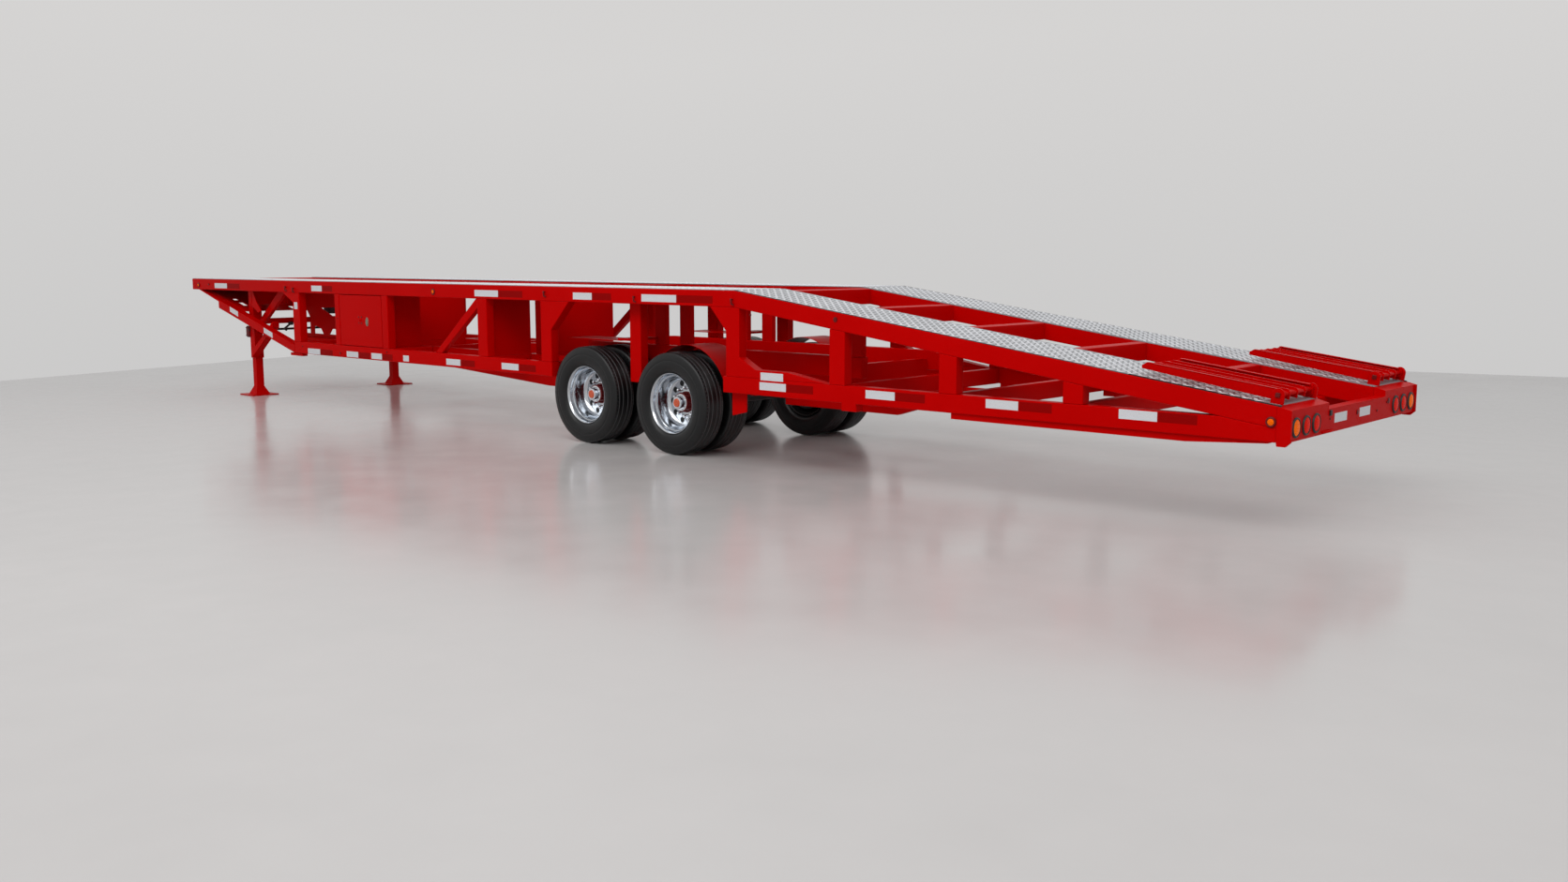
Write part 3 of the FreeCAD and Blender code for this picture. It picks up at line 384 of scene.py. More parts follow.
class Tree:
    """Adds and links nodes in a node tree."""

    def __init__(self, tree: bpy.types.NodeTree) -> None:
        self.tree = tree

    def add(self, kind: str, **settings: object) -> bpy.types.Node:
        """Add a node.

        Args:
            kind: the node type's name.
            settings: properties of the node, or inputs by name with spaces as underscores;
                a socket as a value is linked, anything else is the socket's own value.

        Returns:
            The new node.
        """
        item = self.tree.nodes.new(kind)
        for name, value in settings.items():
            label = name.replace("_", " ")
            if label in item.inputs:
                self.feed(item.inputs[label], value)
            else:
                setattr(item, name, value)
        return item

    def feed(self, socket: bpy.types.NodeSocket, value: object) -> None:
        """Link a socket to another, or give it a value."""
        if isinstance(value, bpy.types.NodeSocket):
            self.tree.links.new(value, socket)
        else:
            socket.default_value = value

    def sum(self, operation: str, first: object, second: object) -> bpy.types.NodeSocket:
        """The result of a Math node with two numbers."""
        item = self.add("ShaderNodeMath", operation=operation)
        self.feed(item.inputs[0], first)
        self.feed(item.inputs[1], second)
        return item.outputs[0]

    def mix(self, amount: object, first: object, second: object) -> bpy.types.NodeSocket:
        """A colour between two others."""
        item = self.add("ShaderNodeMix", data_type="RGBA")
        self.feed(item.inputs[0], amount)
        self.feed(item.inputs[6], first)
        self.feed(item.inputs[7], second)
        return item.outputs[2]

    def ramp(self, value: object, low: float, high: float, start: float = 0.0, end: float = 1.0
             ) -> bpy.types.NodeSocket:
        """A value taken from one range to another and kept inside it."""
        item = self.add("ShaderNodeMapRange", clamp=True)
        for socket, number in zip(item.inputs, (value, low, high, start, end)):
            self.feed(socket, number)
        return item.outputs[0]

    def show(self, shader: bpy.types.NodeSocket, kind: str = "ShaderNodeOutputMaterial") -> None:
        """Send a shader to a new output node."""
        self.feed(self.add(kind).inputs["Surface"], shader)


def clear_tree(owner: bpy.types.ID) -> Tree:
    """The emptied node tree of a material or of a world."""
    owner.use_nodes = True
    owner.node_tree.nodes.clear()
    return Tree(owner.node_tree)


def tint(colour: Sequence[float], part: float = 1.0) -> tuple[float, ...]:
    """A colour with full cover, darkened to a part of itself."""
    return (*(channel * part for channel in colour), 1.0)


GroupBuilder = Callable[[Tree, bpy.types.Node], dict[str, bpy.types.NodeSocket]]


def group(name: str, inputs: dict[str, float], outputs: Sequence[str], build: GroupBuilder
          ) -> bpy.types.NodeTree:
    """A shader node group with plain number inputs and number outputs, made once.

    Args:
        name: the group's name.
        inputs: input names and their default values; Place is always the first, a vector.
        outputs: output names.
        build: makes the inside and returns the socket for each output.

    Returns:
        The group's tree.
    """
    if name in bpy.data.node_groups:
        return bpy.data.node_groups[name]
    made = bpy.data.node_groups.new(name, "ShaderNodeTree")
    made.interface.new_socket("Place", in_out="INPUT", socket_type="NodeSocketVector")
    for label, value in inputs.items():
        socket = made.interface.new_socket(label, in_out="INPUT", socket_type="NodeSocketFloat")
        socket.default_value = value
    for label in outputs:
        made.interface.new_socket(label, in_out="OUTPUT", socket_type="NodeSocketFloat")
    tree = Tree(made)
    start = tree.add("NodeGroupInput")
    results = build(tree, start)
    end = tree.add("NodeGroupOutput")
    for label, socket in results.items():
        made.links.new(socket, end.inputs[label])
    return made


GRAIN = 40.0


def weathering() -> bpy.types.NodeTree:
    """Fine dust and slow unevenness: outputs Tone, Dust and Height."""
    def build(tree: Tree, start: bpy.types.Node) -> dict[str, bpy.types.NodeSocket]:
        """Three noises mixed into the group's outputs."""
        place = start.outputs["Place"]
        slow = tree.add("ShaderNodeTexNoise", Vector=place, Scale=1.7, Detail=3.0)
        fine = tree.add("ShaderNodeTexNoise", Vector=place, Scale=GRAIN, Detail=4.0,
                        Roughness=0.6)
        peel = tree.add("ShaderNodeTexNoise", Vector=place, Scale=start.outputs["Peel"],
                        Detail=1.0)
        dust = tree.sum("MULTIPLY", tree.ramp(fine.outputs[0], 0.45, 0.75),
                        tree.ramp(slow.outputs[0], 0.35, 0.7))
        return {"Tone": tree.ramp(slow.outputs[0], 0.3, 0.7), "Dust": dust,
                "Height": peel.outputs[0]}
    return group("Weathering", {"Peel": 160.0}, ("Tone", "Dust", "Height"), build)


# ---------------------------------------------------------------------------- finishes


DUST = (0.55, 0.53, 0.5)
DUST_ROUGHNESS = 0.25


@dataclass(frozen=True)
class Finish:
    """A surface finish: colour as linear RGB, and how it shines."""

    name: str
    colour: tuple[float, float, float]
    roughness: float = 0.4
    metallic: float = 0.0
    coat: float = 0.0
    peel: float = 160.0
    peel_height: float = 0.0004
    uneven: float = 0.1
    dust: float = 0.1
    sheen: float = 0.5

    def material(self) -> bpy.types.Material:
        """The finish as a material, made once."""
        if self.name in bpy.data.materials:
            return bpy.data.materials[self.name]
        made = bpy.data.materials.new(self.name)
        tree = clear_tree(made)
        tree.show(self.surface(tree))
        return made

    def place(self, tree: Tree) -> bpy.types.NodeSocket:
        """Where on the object a point lies."""
        return tree.add("ShaderNodeTexCoord").outputs["Object"]

    def surface(self, tree: Tree) -> bpy.types.NodeSocket:
        """The shader of the finish."""
        wear = tree.add("ShaderNodeGroup", node_tree=weathering())
        tree.feed(wear.inputs["Place"], self.place(tree))
        wear.inputs["Peel"].default_value = self.peel
        plain = tree.mix(wear.outputs["Tone"], tint(self.colour, 1 - self.uneven),
                         tint(self.colour))
        dusty = tree.mix(tree.sum("MULTIPLY", wear.outputs["Dust"], self.dust), plain, tint(DUST))
        rough = tree.sum("ADD", self.roughness,
                         tree.sum("MULTIPLY", wear.outputs["Dust"], DUST_ROUGHNESS))
        bump = tree.add("ShaderNodeBump", Distance=self.peel_height, Strength=0.5,
                        Height=wear.outputs["Height"])
        shader = tree.add("ShaderNodeBsdfPrincipled", Base_Color=dusty, Roughness=rough,
                          Metallic=self.metallic, Coat_Weight=self.coat, Coat_Roughness=0.06,
                          Specular_IOR_Level=self.sheen, Normal=bump.outputs[0])
        return shader.outputs[0]


@dataclass(frozen=True)
class Lens(Finish):
    """Moulded lamp lens with fine rings of prisms, glowing in its own colour with painted light.
    """

    # Painted light: emission in the lens's own colour; no lamp stands behind it.
    painted_glow: float = 0.05
    prisms: float = 150.0
    depth: float = 0.55

    def surface(self, tree: Tree) -> bpy.types.NodeSocket:
        """The shader of the lens."""
        prisms = tree.add("ShaderNodeTexVoronoi", Vector=self.place(tree), Scale=self.prisms)
        shade = tree.ramp(prisms.outputs["Distance"], 0.0, 0.7)
        colour = tree.mix(shade, tint(self.colour), tint(self.colour, self.depth))
        bump = tree.add("ShaderNodeBump", Distance=0.001, Strength=0.3, Height=shade)
        shader = tree.add("ShaderNodeBsdfPrincipled", Base_Color=colour, Roughness=self.roughness,
                          Coat_Weight=self.coat, Coat_Roughness=0.03, Normal=bump.outputs[0],
                          Specular_IOR_Level=self.sheen, Emission_Color=colour,
                          Emission_Strength=self.painted_glow)
        return shader.outputs[0]


@dataclass(frozen=True)
class Tape(Finish):
    """Reflective tape with a honeycomb of cells."""

    cells: float = 110.0
    seam: float = 0.86

    def surface(self, tree: Tree) -> bpy.types.NodeSocket:
        """The shader of the tape."""
        cells = tree.add("ShaderNodeTexVoronoi", Vector=self.place(tree), Scale=self.cells,
                         feature="DISTANCE_TO_EDGE")
        line = tree.ramp(cells.outputs["Distance"], 0.02, 0.08)
        colour = tree.mix(line, tint(self.colour, self.seam), tint(self.colour))
        shader = tree.add("ShaderNodeBsdfPrincipled", Base_Color=colour, Roughness=self.roughness,
                          Metallic=self.metallic, Coat_Weight=self.coat,
                          Specular_IOR_Level=self.sheen)
        return shader.outputs[0]


RED = Finish("red_gloss_paint", (0.61, 0.0, 0.0), roughness=0.3, dust=0.004, sheen=0.025,
             uneven=0.06)
DARK_RED = Finish("red_hub_paint", (0.16, 0.002, 0.003), roughness=0.4, coat=0.1, dust=0.02,
                  sheen=0.2)
WHEEL_METAL = Finish("polished_wheel", (0.58, 0.61, 0.65), roughness=0.12, metallic=1.0,
                     uneven=0.03, dust=0.01, peel=30.0, peel_height=0.00002)
CHROME = Finish("bright_chrome", (0.78, 0.79, 0.82), roughness=0.08, metallic=1.0, uneven=0.05,
                dust=0.02, peel_height=0.00003)
RUBBER = Finish("tyre_black", (0.004, 0.0042, 0.005), roughness=0.35, peel=300.0,
                peel_height=0.0004, uneven=0.25, dust=0.012, sheen=0.4)
# Pale grooves and slots: partly dust, partly a painted highlight of the light on the groove
# edges.
TREAD_DUST_AND_HIGHLIGHT = Finish("worn_tread_edge", (0.13, 0.13, 0.135), roughness=0.7, sheen=0.2)
BLACK = Finish("black_moulding", (0.01, 0.01, 0.01), roughness=0.45, uneven=0.2, dust=0.03)
STEEL = Finish("bare_steel", (0.035, 0.033, 0.033), roughness=0.5, metallic=0.4, dust=0.1)
OLIVE = Finish("plated_latch", (0.24, 0.27, 0.2), roughness=0.35, metallic=0.5)
PLATE = Finish("rolled_plate", (0.39, 0.398, 0.42), roughness=0.42, metallic=0.3, sheen=0.3,
               uneven=0.3, dust=0.05, peel_height=0.0002)
# Painted highlight: the lozenges are the plate's own steel, coloured far paler than it where
# their tops catch the light.
LOZENGE_HIGHLIGHT = Finish("tread_lozenges", (0.88, 0.89, 0.92), roughness=0.42, metallic=0.2, sheen=0.3,
                 uneven=0.12, dust=0.03, peel_height=0.0001)
# Painted light: both lamp lenses glow strongly with no light behind them.
AMBER = Lens("amber_prisms", (0.85, 0.125, 0.001), roughness=0.2, coat=0.03, sheen=0.03, painted_glow=0.6)
RED_LENS = Lens("red_prisms", (0.6, 0.007, 0.001), roughness=0.2, coat=0.03, sheen=0.02, painted_glow=0.6)
# The hub plug is no lamp; the lens's small default glow is painted light on it too.
CAP_RED = Lens("orange_hub_window", (0.9, 0.12, 0.03), roughness=0.2, coat=0.3)
WHITE_TAPE = Tape("white_tape", (0.78, 0.79, 0.82), roughness=0.35)
RED_TAPE = Tape("red_tape", (0.33, 0.001, 0.001), roughness=0.4, sheen=0.03)


def dress(piece: bpy.types.Object, finish: Finish, body: str,
          replaces: Sequence[str] = ()) -> None:
    """Give a piece its finish and hang it on a body.

    Args:
        piece: the mesh object.
        finish: its finish.
        body: the moving body that it rides on.
        replaces: CAD nodes that it stands for.
    """
    piece.data.materials.clear()
    piece.data.materials.append(finish.material())
    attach(piece, body)
    if replaces:
        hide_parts(*replaces)
    log.info("%s: %d faces", piece.name, len(piece.data.polygons))


# ---------------------------------------------------------------------------- welded frame


@dataclass
class WeldedFrame:
    """The CAD members with rounded tube corners, in gloss red."""

    tube_rounding: float = 0.007
    sheet_rounding: float = 0.0012
    door_rounding: float = 0.003
    flat: float = math.radians(1)
    tubes: tuple[str, ...] = (
        "side_rails_flat", "side_rails_sloped", "inner_rails_flat", "inner_rails_sloped",
        "middle_chords", "rear_chords", "side_posts", "wheel_posts", "deck_crossmembers",
        "runway_crossmembers", "nose_beam", "inner_sills", "floor_beams_centre",
        "floor_beams_outer", "floor_beams_rear", "suspension_beams", "deck_posts",
        "diagonal_braces")
    sheets: tuple[str, ...] = (
        "front_chords", "web_plates", "coupler_plate", "coupler_webs", "landing_legs",
        "leg_struts", "toolbox_shell", "spring_hangers", "tail_beam", "tail_end_plates",
        "ramp_store_rails", "mudguards")

    def soften(self, node: str, rounding: float) -> bpy.types.Object:
        """A rounded copy of a CAD node.

        Args:
            node: the node's name.
            rounding: edge radius in metres.

        Returns:
            The copy.
        """
        piece = copy_of(frame["nodes"][node], node + "_rounded")
        activate(piece)
        bpy.ops.object.mode_set(mode="EDIT")
        bpy.ops.mesh.select_all(action="SELECT")
        bpy.ops.mesh.remove_doubles(threshold=DOUBLES)
        bpy.ops.mesh.dissolve_limited(angle_limit=self.flat)
        bpy.ops.object.mode_set(mode="OBJECT")
        round_edges(piece, rounding)
        return piece

    def build(self) -> None:
        """Round every member and paint it."""
        for rounding, names in ((self.tube_rounding, self.tubes),
                                (self.sheet_rounding, self.sheets)):
            for node in names:
                dress(self.soften(node, rounding), RED, ROOT, [node])
        dress(self.soften("toolbox_door", self.door_rounding), RED, "toolbox_door",
              ["toolbox_door"])
        for node in ("axles", "leaf_springs"):
            paint_node(node, STEEL)
        for node in ("runway_plates_flat", "runway_plates_sloped"):
            paint_node(node, PLATE)
        paint_node("leg_shaft", RED)


def paint_node(node: str, finish: Finish) -> None:
    """Give a CAD node that stays a better finish."""
    piece = frame["nodes"][node]
    piece.data.materials.clear()
    piece.data.materials.append(finish.material())


# ---------------------------------------------------------------------------- wheels


@dataclass
class TwinWheel:
    """Two tyres on bright dished rims with a hub, drawn for the left side.

    Distances run outwards from the mounting face, which lies at the origin of the drawing.
    """

    radius: float = 0.503
    offset: float = 0.1715
    hand_holes: int = 10
    hole_circle: float = 0.190
    hole_radius: float = 0.029
    ribs: tuple[tuple[float, float], ...] = ((0.0850, 0.0740), (0.0365, 0.0255))
    groove: float = 0.013
    ticks: int = 84
    nuts: int = 10
    stud_circle: float = 0.1425
    hub_ribs: int = 10
    cap_bolts: int = 8
    bolt_circle: float = 0.0755
    steps: int = 112
    patterns: dict[str, bpy.types.Object] = field(default_factory=dict)

    def tyre_profile(self) -> list[tuple[float, float]]:
        """(radius, distance from the tyre's middle) corners from bead to bead."""
        wall = [
            (0.294, 0.092), (0.302, 0.104), (0.310, 0.1125), (0.314, 0.1165), (0.324, 0.1255),
            (0.345, 0.1325), (0.372, 0.1368), (0.398, 0.1375), (0.412, 0.1370), (0.415, 0.1352),
            (0.419, 0.1365), (0.438, 0.1345), (0.457, 0.1302), (0.472, 0.1262), (0.484, 0.1222),
            (0.4925, 0.1160), (0.4965, 0.1085)]
        tread: list[tuple[float, float]] = []
        for high, low in self.ribs:
            top_high, top_low = self.crown(high), self.crown(low)
            tread += [(top_high - 0.0012, high + 0.0016), (top_high - 0.0026, high),
                      (top_high - self.groove, high - 0.0015),
                      (top_low - self.groove, low + 0.0015), (top_low - 0.0026, low),
                      (top_low - 0.0012, low - 0.0016)]
        half = wall + tread
        return half + [(radius, -along) for radius, along in reversed(half)]

    def crown(self, along: float) -> float:
        """Radius of the tread at a distance from the tyre's middle."""
        return self.radius - 0.0045 * (along / 0.11) ** 2

    def tread_lines(self) -> bpy.types.Object:
        """Pale lines in the tread's grooves and short slots round its shoulders: partly dust,
        partly a painted highlight where the groove edges catch the light.
        """
        pieces = []
        for high, low in self.ribs:
            floor = self.crown(high) - self.groove
            band = [(floor, high - 0.001), (floor + 0.0085, high - 0.001),
                    (floor + 0.0085, low + 0.001), (floor, low + 0.001)]
            for sign in (1, -1):
                profile = [(radius, sign * along) for radius, along in band]
                pieces.append(turned("tread_band", profile, ORIGIN, self.steps, 30))
        for low, high in ((0.094, 0.104), (-0.104, -0.094)):
            slot = block("shoulder_slot", (-0.0022, low, 0.49), (0.0022, high, 0.4988), 0.0004)
            pieces.append(repeated("shoulder_slots", slot, turns_about_y(self.ticks)))
        lines = joined("tread_lines", pieces)
        lines.data.transform(move(y=-self.offset))
        twin = copy_of(lines, "tread_lines_inner", move(y=self.offset * 2))
        return joined("tread_lines", [lines, twin])

    def rim_profile(self) -> list[tuple[float, float]]:
        """Corners of the outer rim, from its lip down the dish to the disc and back."""
        return [
            (0.2975, 0.2680), (0.2985, 0.2755), (0.2965, 0.2795), (0.2925, 0.2795),
            (0.2885, 0.2755), (0.2855, 0.2700), (0.2800, 0.2640), (0.2775, 0.2560),
            (0.2760, 0.2350), (0.2725, 0.2270), (0.2650, 0.2230), (0.2615, 0.2160),
            (0.2600, 0.1900), (0.2600, 0.1500), (0.2585, 0.1250), (0.2530, 0.1040),
            (0.2430, 0.0880), (0.2310, 0.0775), (0.2300, 0.0680), (0.2480, 0.0720),
            (0.2600, 0.1000), (0.2650, 0.1300), (0.2665, 0.1500), (0.2665, 0.1900),
            (0.2800, 0.2350), (0.2900, 0.2560)]

    def inner_profile(self) -> list[tuple[float, float]]:
        """Corners of the inner rim with the brake drum inside it."""
        return [
            (0.1020, 0.0595), (0.2250, 0.0595), (0.2480, 0.0450), (0.2600, 0.0000),
            (0.2620, -0.1900), (0.2760, -0.2350), (0.2860, -0.2560), (0.2925, -0.2755),
            (0.2865, -0.2795), (0.2740, -0.2640), (0.2700, -0.2350), (0.2560, -0.2160),
            (0.2500, 0.0000), (0.2360, 0.0300), (0.2130, 0.0450), (0.2080, 0.0400),
            (0.2080, -0.2300), (0.2150, -0.2350), (0.2150, -0.2500), (0.0700, -0.2560),
            (0.0700, 0.0300), (0.1020, 0.0300)]

    def outwards(self, profile: Sequence[tuple[float, float]], shift: float = 0.0
                 ) -> list[tuple[float, float]]:
        """A profile with distances outwards turned into Y on the left side."""
        return [(radius, -(along + shift)) for radius, along in profile]

    def tyres(self) -> bpy.types.Object:
        """Both tyres."""
        outer = turned("tyre_pair", self.outwards(self.tyre_profile(), self.offset), ORIGIN,
                       self.steps, 35)
        inner = copy_of(outer, "tyre_inner", move(y=self.offset * 2))
        return joined("tyre_pair", [outer, inner])

    def rim(self) -> bpy.types.Object:
        """The outer rim with its hand holes."""
        dish = turned("outer_rim", self.outwards(self.rim_profile()), ORIGIN, 96, 35)
        face = self.outwards([(0.1020, 0.0600), (0.1020, 0.0720), (0.2230, 0.0720),
                              (0.2320, 0.0780), (0.2320, 0.0690), (0.2250, 0.0600)])
        disc = turned("rim_disc", face, ORIGIN, 96, 15)
        cutter = rod("hand_hole", (0, -0.04, 0), (0, -0.12, 0), self.hole_radius, 28, 0)
        tool = repeated("hand_holes", cutter, circle(self.hand_holes, self.hole_circle, 0.5))
        finish_modifier(disc, "BOOLEAN", operation="DIFFERENCE", object=tool, solver="EXACT")
        bpy.data.objects.remove(tool)
        smooth(disc, 15)
        return joined("outer_rim", [dish, disc])

    def studs(self) -> bpy.types.Object:
        """Ten capped nuts round the hub."""
        nut = turned("nut", [(0.0, -0.070), (0.021, -0.070), (0.021, -0.076), (0.0165, -0.080),
                             (0.0160, -0.103), (0.0120, -0.113), (0.0050, -0.117),
                             (0.0, -0.117)], ORIGIN, 12, 30)
        return repeated("wheel_nuts", nut, circle(self.nuts, self.stud_circle))

    def hub(self) -> bpy.types.Object:
        """Red hub barrel with ribs."""
        profile = self.outwards([
            (0.0, 0.050), (0.1045, 0.050), (0.1045, 0.076), (0.0900, 0.081), (0.0870, 0.130),
            (0.0930, 0.134), (0.0930, 0.144), (0.0, 0.146)])
        barrel = turned("hub_barrel", profile, ORIGIN, 64, 30)
        rib = block("hub_rib", (-0.005, -0.134, 0.082), (0.005, -0.076, 0.097), 0.001)
        ribs = repeated("hub_ribs", rib, turns_about_y(self.hub_ribs, 0.5))
        return joined("hub_barrel", [barrel, ribs])

    def cap(self) -> bpy.types.Object:
        """Bright bolted cap on the hub's end."""
        profile = self.outwards([
            (0.0, 0.144), (0.0840, 0.144), (0.0840, 0.1505), (0.0700, 0.1530), (0.0670, 0.1580),
            (0.0640, 0.1960), (0.0590, 0.2040), (0.0470, 0.2075), (0.0420, 0.2050),
            (0.0, 0.205)])
        cap = turned("hub_cap", profile, ORIGIN, 56, 30)
        bolt = rod("cap_bolt", (0, -0.150, 0), (0, -0.158, 0), 0.0062, 6, 0.0008)
        bolts = repeated("cap_bolts", bolt, circle(self.cap_bolts, self.bolt_circle, 0.5))
        return joined("hub_cap", [cap, bolts])

    def window(self) -> bpy.types.Object:
        """Orange-red plug in the middle of the cap."""
        profile = self.outwards([
            (0.0, 0.203), (0.0410, 0.203), (0.0410, 0.2085), (0.0360, 0.2120), (0.0, 0.2130)])
        return turned("hub_plug", profile, ORIGIN, 40, 30)

    def draw(self) -> None:
        """Make one of each piece at the origin."""
        self.patterns = {
            "tyres": self.tyres(),
            "lines": self.tread_lines(),
            "rim": self.rim(),
            "inner_rim": turned("inner_rim", self.outwards(self.inner_profile()), ORIGIN, 72,
                                30),
            "nuts": self.studs(),
            "hub": self.hub(),
            "cap": self.cap(),
            "plug": self.window(),
        }

    def build(self) -> None:
        """Copy the pieces to the four wheels."""
        self.draw()
        finishes = {"tyres": (RUBBER, "tyre_rubber"), "lines": (TREAD_DUST_AND_HIGHLIGHT, "tyre_rubber"),
                    "rim": (WHEEL_METAL, "polished_aluminium"),
                    "inner_rim": (BLACK, "polished_aluminium"),
                    "nuts": (CHROME, "polished_aluminium"),
                    "hub": (DARK_RED, "red_paint"), "cap": (CHROME, "polished_aluminium"),
                    "plug": (CAP_RED, "red_lens")}
        for joint in frame["joints"]:
            body = joint["child"]
            if not body.startswith("wheels_"):
                continue
            x, y, z = joint["pos_m"]
            place = move(x, y, z) @ (Side.RIGHT if y > 0 else Side.LEFT).mirror
            tail = body.removeprefix("wheels_")
            for part, pattern in self.patterns.items():
                finish, slot = finishes[part]
                nodes = {"tyres": [f"tyres_{tail}"], "rim": [f"rims_{tail}"]}.get(part, [])
                dress(copy_of(pattern, f"{part}_{tail}_detailed", place), finish, body,
                      nodes)
        for pattern in self.patterns.values():
            bpy.data.objects.remove(pattern)


# ---------------------------------------------------------------------------- markings


SIDE_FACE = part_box("side_rails_flat")[1].y
TAIL_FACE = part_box("tail_beam")[1].x
SURFACE = 0.0003
PLATE_INNER = 0.5835


def at(station: float) -> float:
    """The X of a distance behind the trailer's nose."""
    return CAD_LOW[0] + station


def deck_slope() -> float:
    """Angle by which the sloped runways fall."""
    flat_low, flat_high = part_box("runway_plates_flat")
    low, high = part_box("runway_plates_sloped")
    fall = high.z - low.z - (flat_high.z - flat_low.z)
    return math.atan2(fall, high.x - low.x)


def paired(piece: bpy.types.Object) -> bpy.types.Object:
    """A left piece joined with its mirror image on the right."""
    return joined(piece.name, [piece, copy_of(piece, piece.name, Side.RIGHT.mirror)])


def spot(station: float, y: float, z: float, turn: float = 0.0) -> Matrix:
    """How a piece drawn at the origin goes to its place.

    Args:
        station: distance behind the nose.
        y: the place across the trailer.
        z: height over the floor.
        turn: degrees about the upright.

    Returns:
        The turn followed by the shift.
    """
    return move(at(station), y, z) @ Matrix.Rotation(math.radians(turn), 4, "Z")


def placed(piece: bpy.types.Object, change: Matrix) -> bpy.types.Object:
    """A piece after its mesh has been moved."""
    piece.data.transform(change)
    return piece


@dataclass
class Tapes:
    """Pairs of white and darker red reflective tape along both side frames."""

    depth: float = 0.071
    thick: float = 0.0012
    rail_height: float = 1.52
    rail: tuple[tuple[float, float], ...] = (
        (0.695, 1.065), (3.379, 3.637), (6.936, 7.369), (8.651, 8.949), (9.699, 10.191))
    chord_height: tuple[float, float] = (0.6876, 0.00583)
    chord: tuple[tuple[float, float], ...] = (
        (3.221, 3.530), (4.177, 4.448), (4.751, 4.987), (6.347, 6.624), (7.401, 7.703),
        (11.279, 11.600), (12.509, 12.819), (13.720, 14.018), (14.877, 15.181))
    raised: tuple[float, float, float] = (11.291, 11.566, 0.842)
    sloped: tuple[tuple[float, float], ...] = ((1.232, 1.166), (2.180, 0.904))
    slope: float = -15.5
    slope_run: float = 0.235
    upright: tuple[float, float, float, float] = (2.915, 3.0, 1.288, 0.09)
    short: tuple[float, float] = (5.455, 5.575)
    edge: float = 0.0003
    tail: tuple[tuple[float, float], ...] = ((-0.468, -0.224), (0.036, 0.258))
    tail_height: tuple[float, float] = (0.735, 0.803)

    def strip(self, start: float, end: float, height: float, depth: float, slope: float = 0.0
              ) -> bpy.types.Object:
        """One strip on the left side face.

        Args:
            start: its front end, as a distance behind the nose.
            end: its rear end.
            height: its middle over the floor.
            depth: its width.
            slope: degrees by which its rear end rises.

        Returns:
            The strip.
        """
        half, middle = (end - start) / 2, at((start + end) / 2)
        corners = []
        for run, rise in ((-1, -1), (1, -1), (1, 1), (-1, 1)):
            x = run * half
            climb = math.tan(math.radians(slope)) * x
            corners.append((middle + x, SURFACE - SIDE_FACE, height + climb + rise * depth / 2))
        return plate("tape", corners, (0, -self.thick, 0), self.edge)

    def build(self) -> None:
        """Stick the tapes on."""
        base, climb = self.chord_height
        lined = [(start, end, self.rail_height) for start, end in self.rail]
        lined += [(start, end, base + climb * start) for start, end in self.chord]
        white = [self.strip(*run, self.depth) for run in (*lined, self.raised)]
        white.append(self.strip(*self.upright))
        white.append(self.strip(*self.short, base + climb * 5.5, self.depth))
        for station, height in self.sloped:
            white.append(self.strip(station - self.slope_run / 2, station + self.slope_run / 2,
                                    height, self.depth, self.slope))
        red = [self.strip(end + 0.002, end * 2 - start, height, self.depth)
               for start, end, height in lined]
        dress(paired(joined("white_tapes", white)), WHITE_TAPE, ROOT)
        dress(paired(joined("red_tapes", red)), RED_TAPE, ROOT)
        face, (low, high) = TAIL_FACE - SURFACE, self.tail_height
        tail = [plate("tail_tape", [(face, start, low), (face, end, low), (face, end, high),
                                    (face, start, high)], (self.thick + SURFACE, 0, 0), self.edge)
                for start, end in self.tail]
        dress(joined("tail_reflectors", tail), WHITE_TAPE, ROOT)


@dataclass
class Lamps:
    """Rear lamps in rubber rings, and small amber markers along the sides."""

    bulge: float = 0.016
    markers: tuple[tuple[float, float, float], ...] = (
        (0.2, 1.522, 0.02), (6.13, 1.522, 0.022), (16.012, 0.805, 0.024))

    def lens(self, name: str, radius: float) -> bpy.types.Object:
        """A domed lens at the origin that faces left."""
        profile = [(0.0, 0.004), (radius, 0.004), (radius, -0.006), (radius * 0.93, -0.010),
                   (radius * 0.72, self.bulge * -0.85), (radius * 0.4, self.bulge * -0.97),
                   (0.0, -self.bulge)]
        return turned(name, profile, ORIGIN, 48, 25)

    def ring(self, name: str, radius: float) -> bpy.types.Object:
        """A rubber ring round a lens."""
        profile = [(radius - 0.001, 0.004), (radius + 0.014, 0.004), (radius + 0.014, -0.004),
                   (radius + 0.011, -0.010), (radius + 0.005, -0.013), (radius, -0.011)]
        return turned(name, profile, ORIGIN, 48, 25)

    def rear(self) -> None:
        """Three lamps at each rear corner."""
        low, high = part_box("turn_lamps")
        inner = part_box("stop_lamps")[0]
        radius, height = (high.z - low.z) / 2, (high.z + low.z) / 2
        outer = low.y + radius
        pitch = inner.y + radius - outer
        spots = [spot(TAIL_FACE - CAD_LOW[0], outer + pitch * order, height, 90)
                 for order in range(3)]
        rings = repeated("lamp_rubbers", self.ring("lamp_rubber", radius), spots)
        turns = placed(self.lens("turn_lenses", radius), spots[0])
        stops = repeated("stop_lenses", self.lens("lamp_lens", radius), spots[1:])
        dress(paired(rings), BLACK, ROOT)
        dress(paired(turns), AMBER, ROOT, ["turn_lamps"])
        dress(paired(stops), RED_LENS, ROOT, ["stop_lamps"])

    def side(self) -> None:
        """Amber markers on the rails and at the rear corners."""
        lenses, rings = [], []
        for station, height, radius in self.markers:
            place = spot(station, -SIDE_FACE, height)
            lenses.append(placed(self.lens("marker", radius), place))
            rings.append(placed(self.ring("marker_ring", radius), place))
        dress(paired(joined("marker_lenses", lenses)), AMBER, ROOT)
        dress(paired(joined("marker_rings", rings)), DARK_RED, ROOT)

    def build(self) -> None:
        """Make every lamp."""
        self.rear()
        self.side()


# ---------------------------------------------------------------------------- fittings


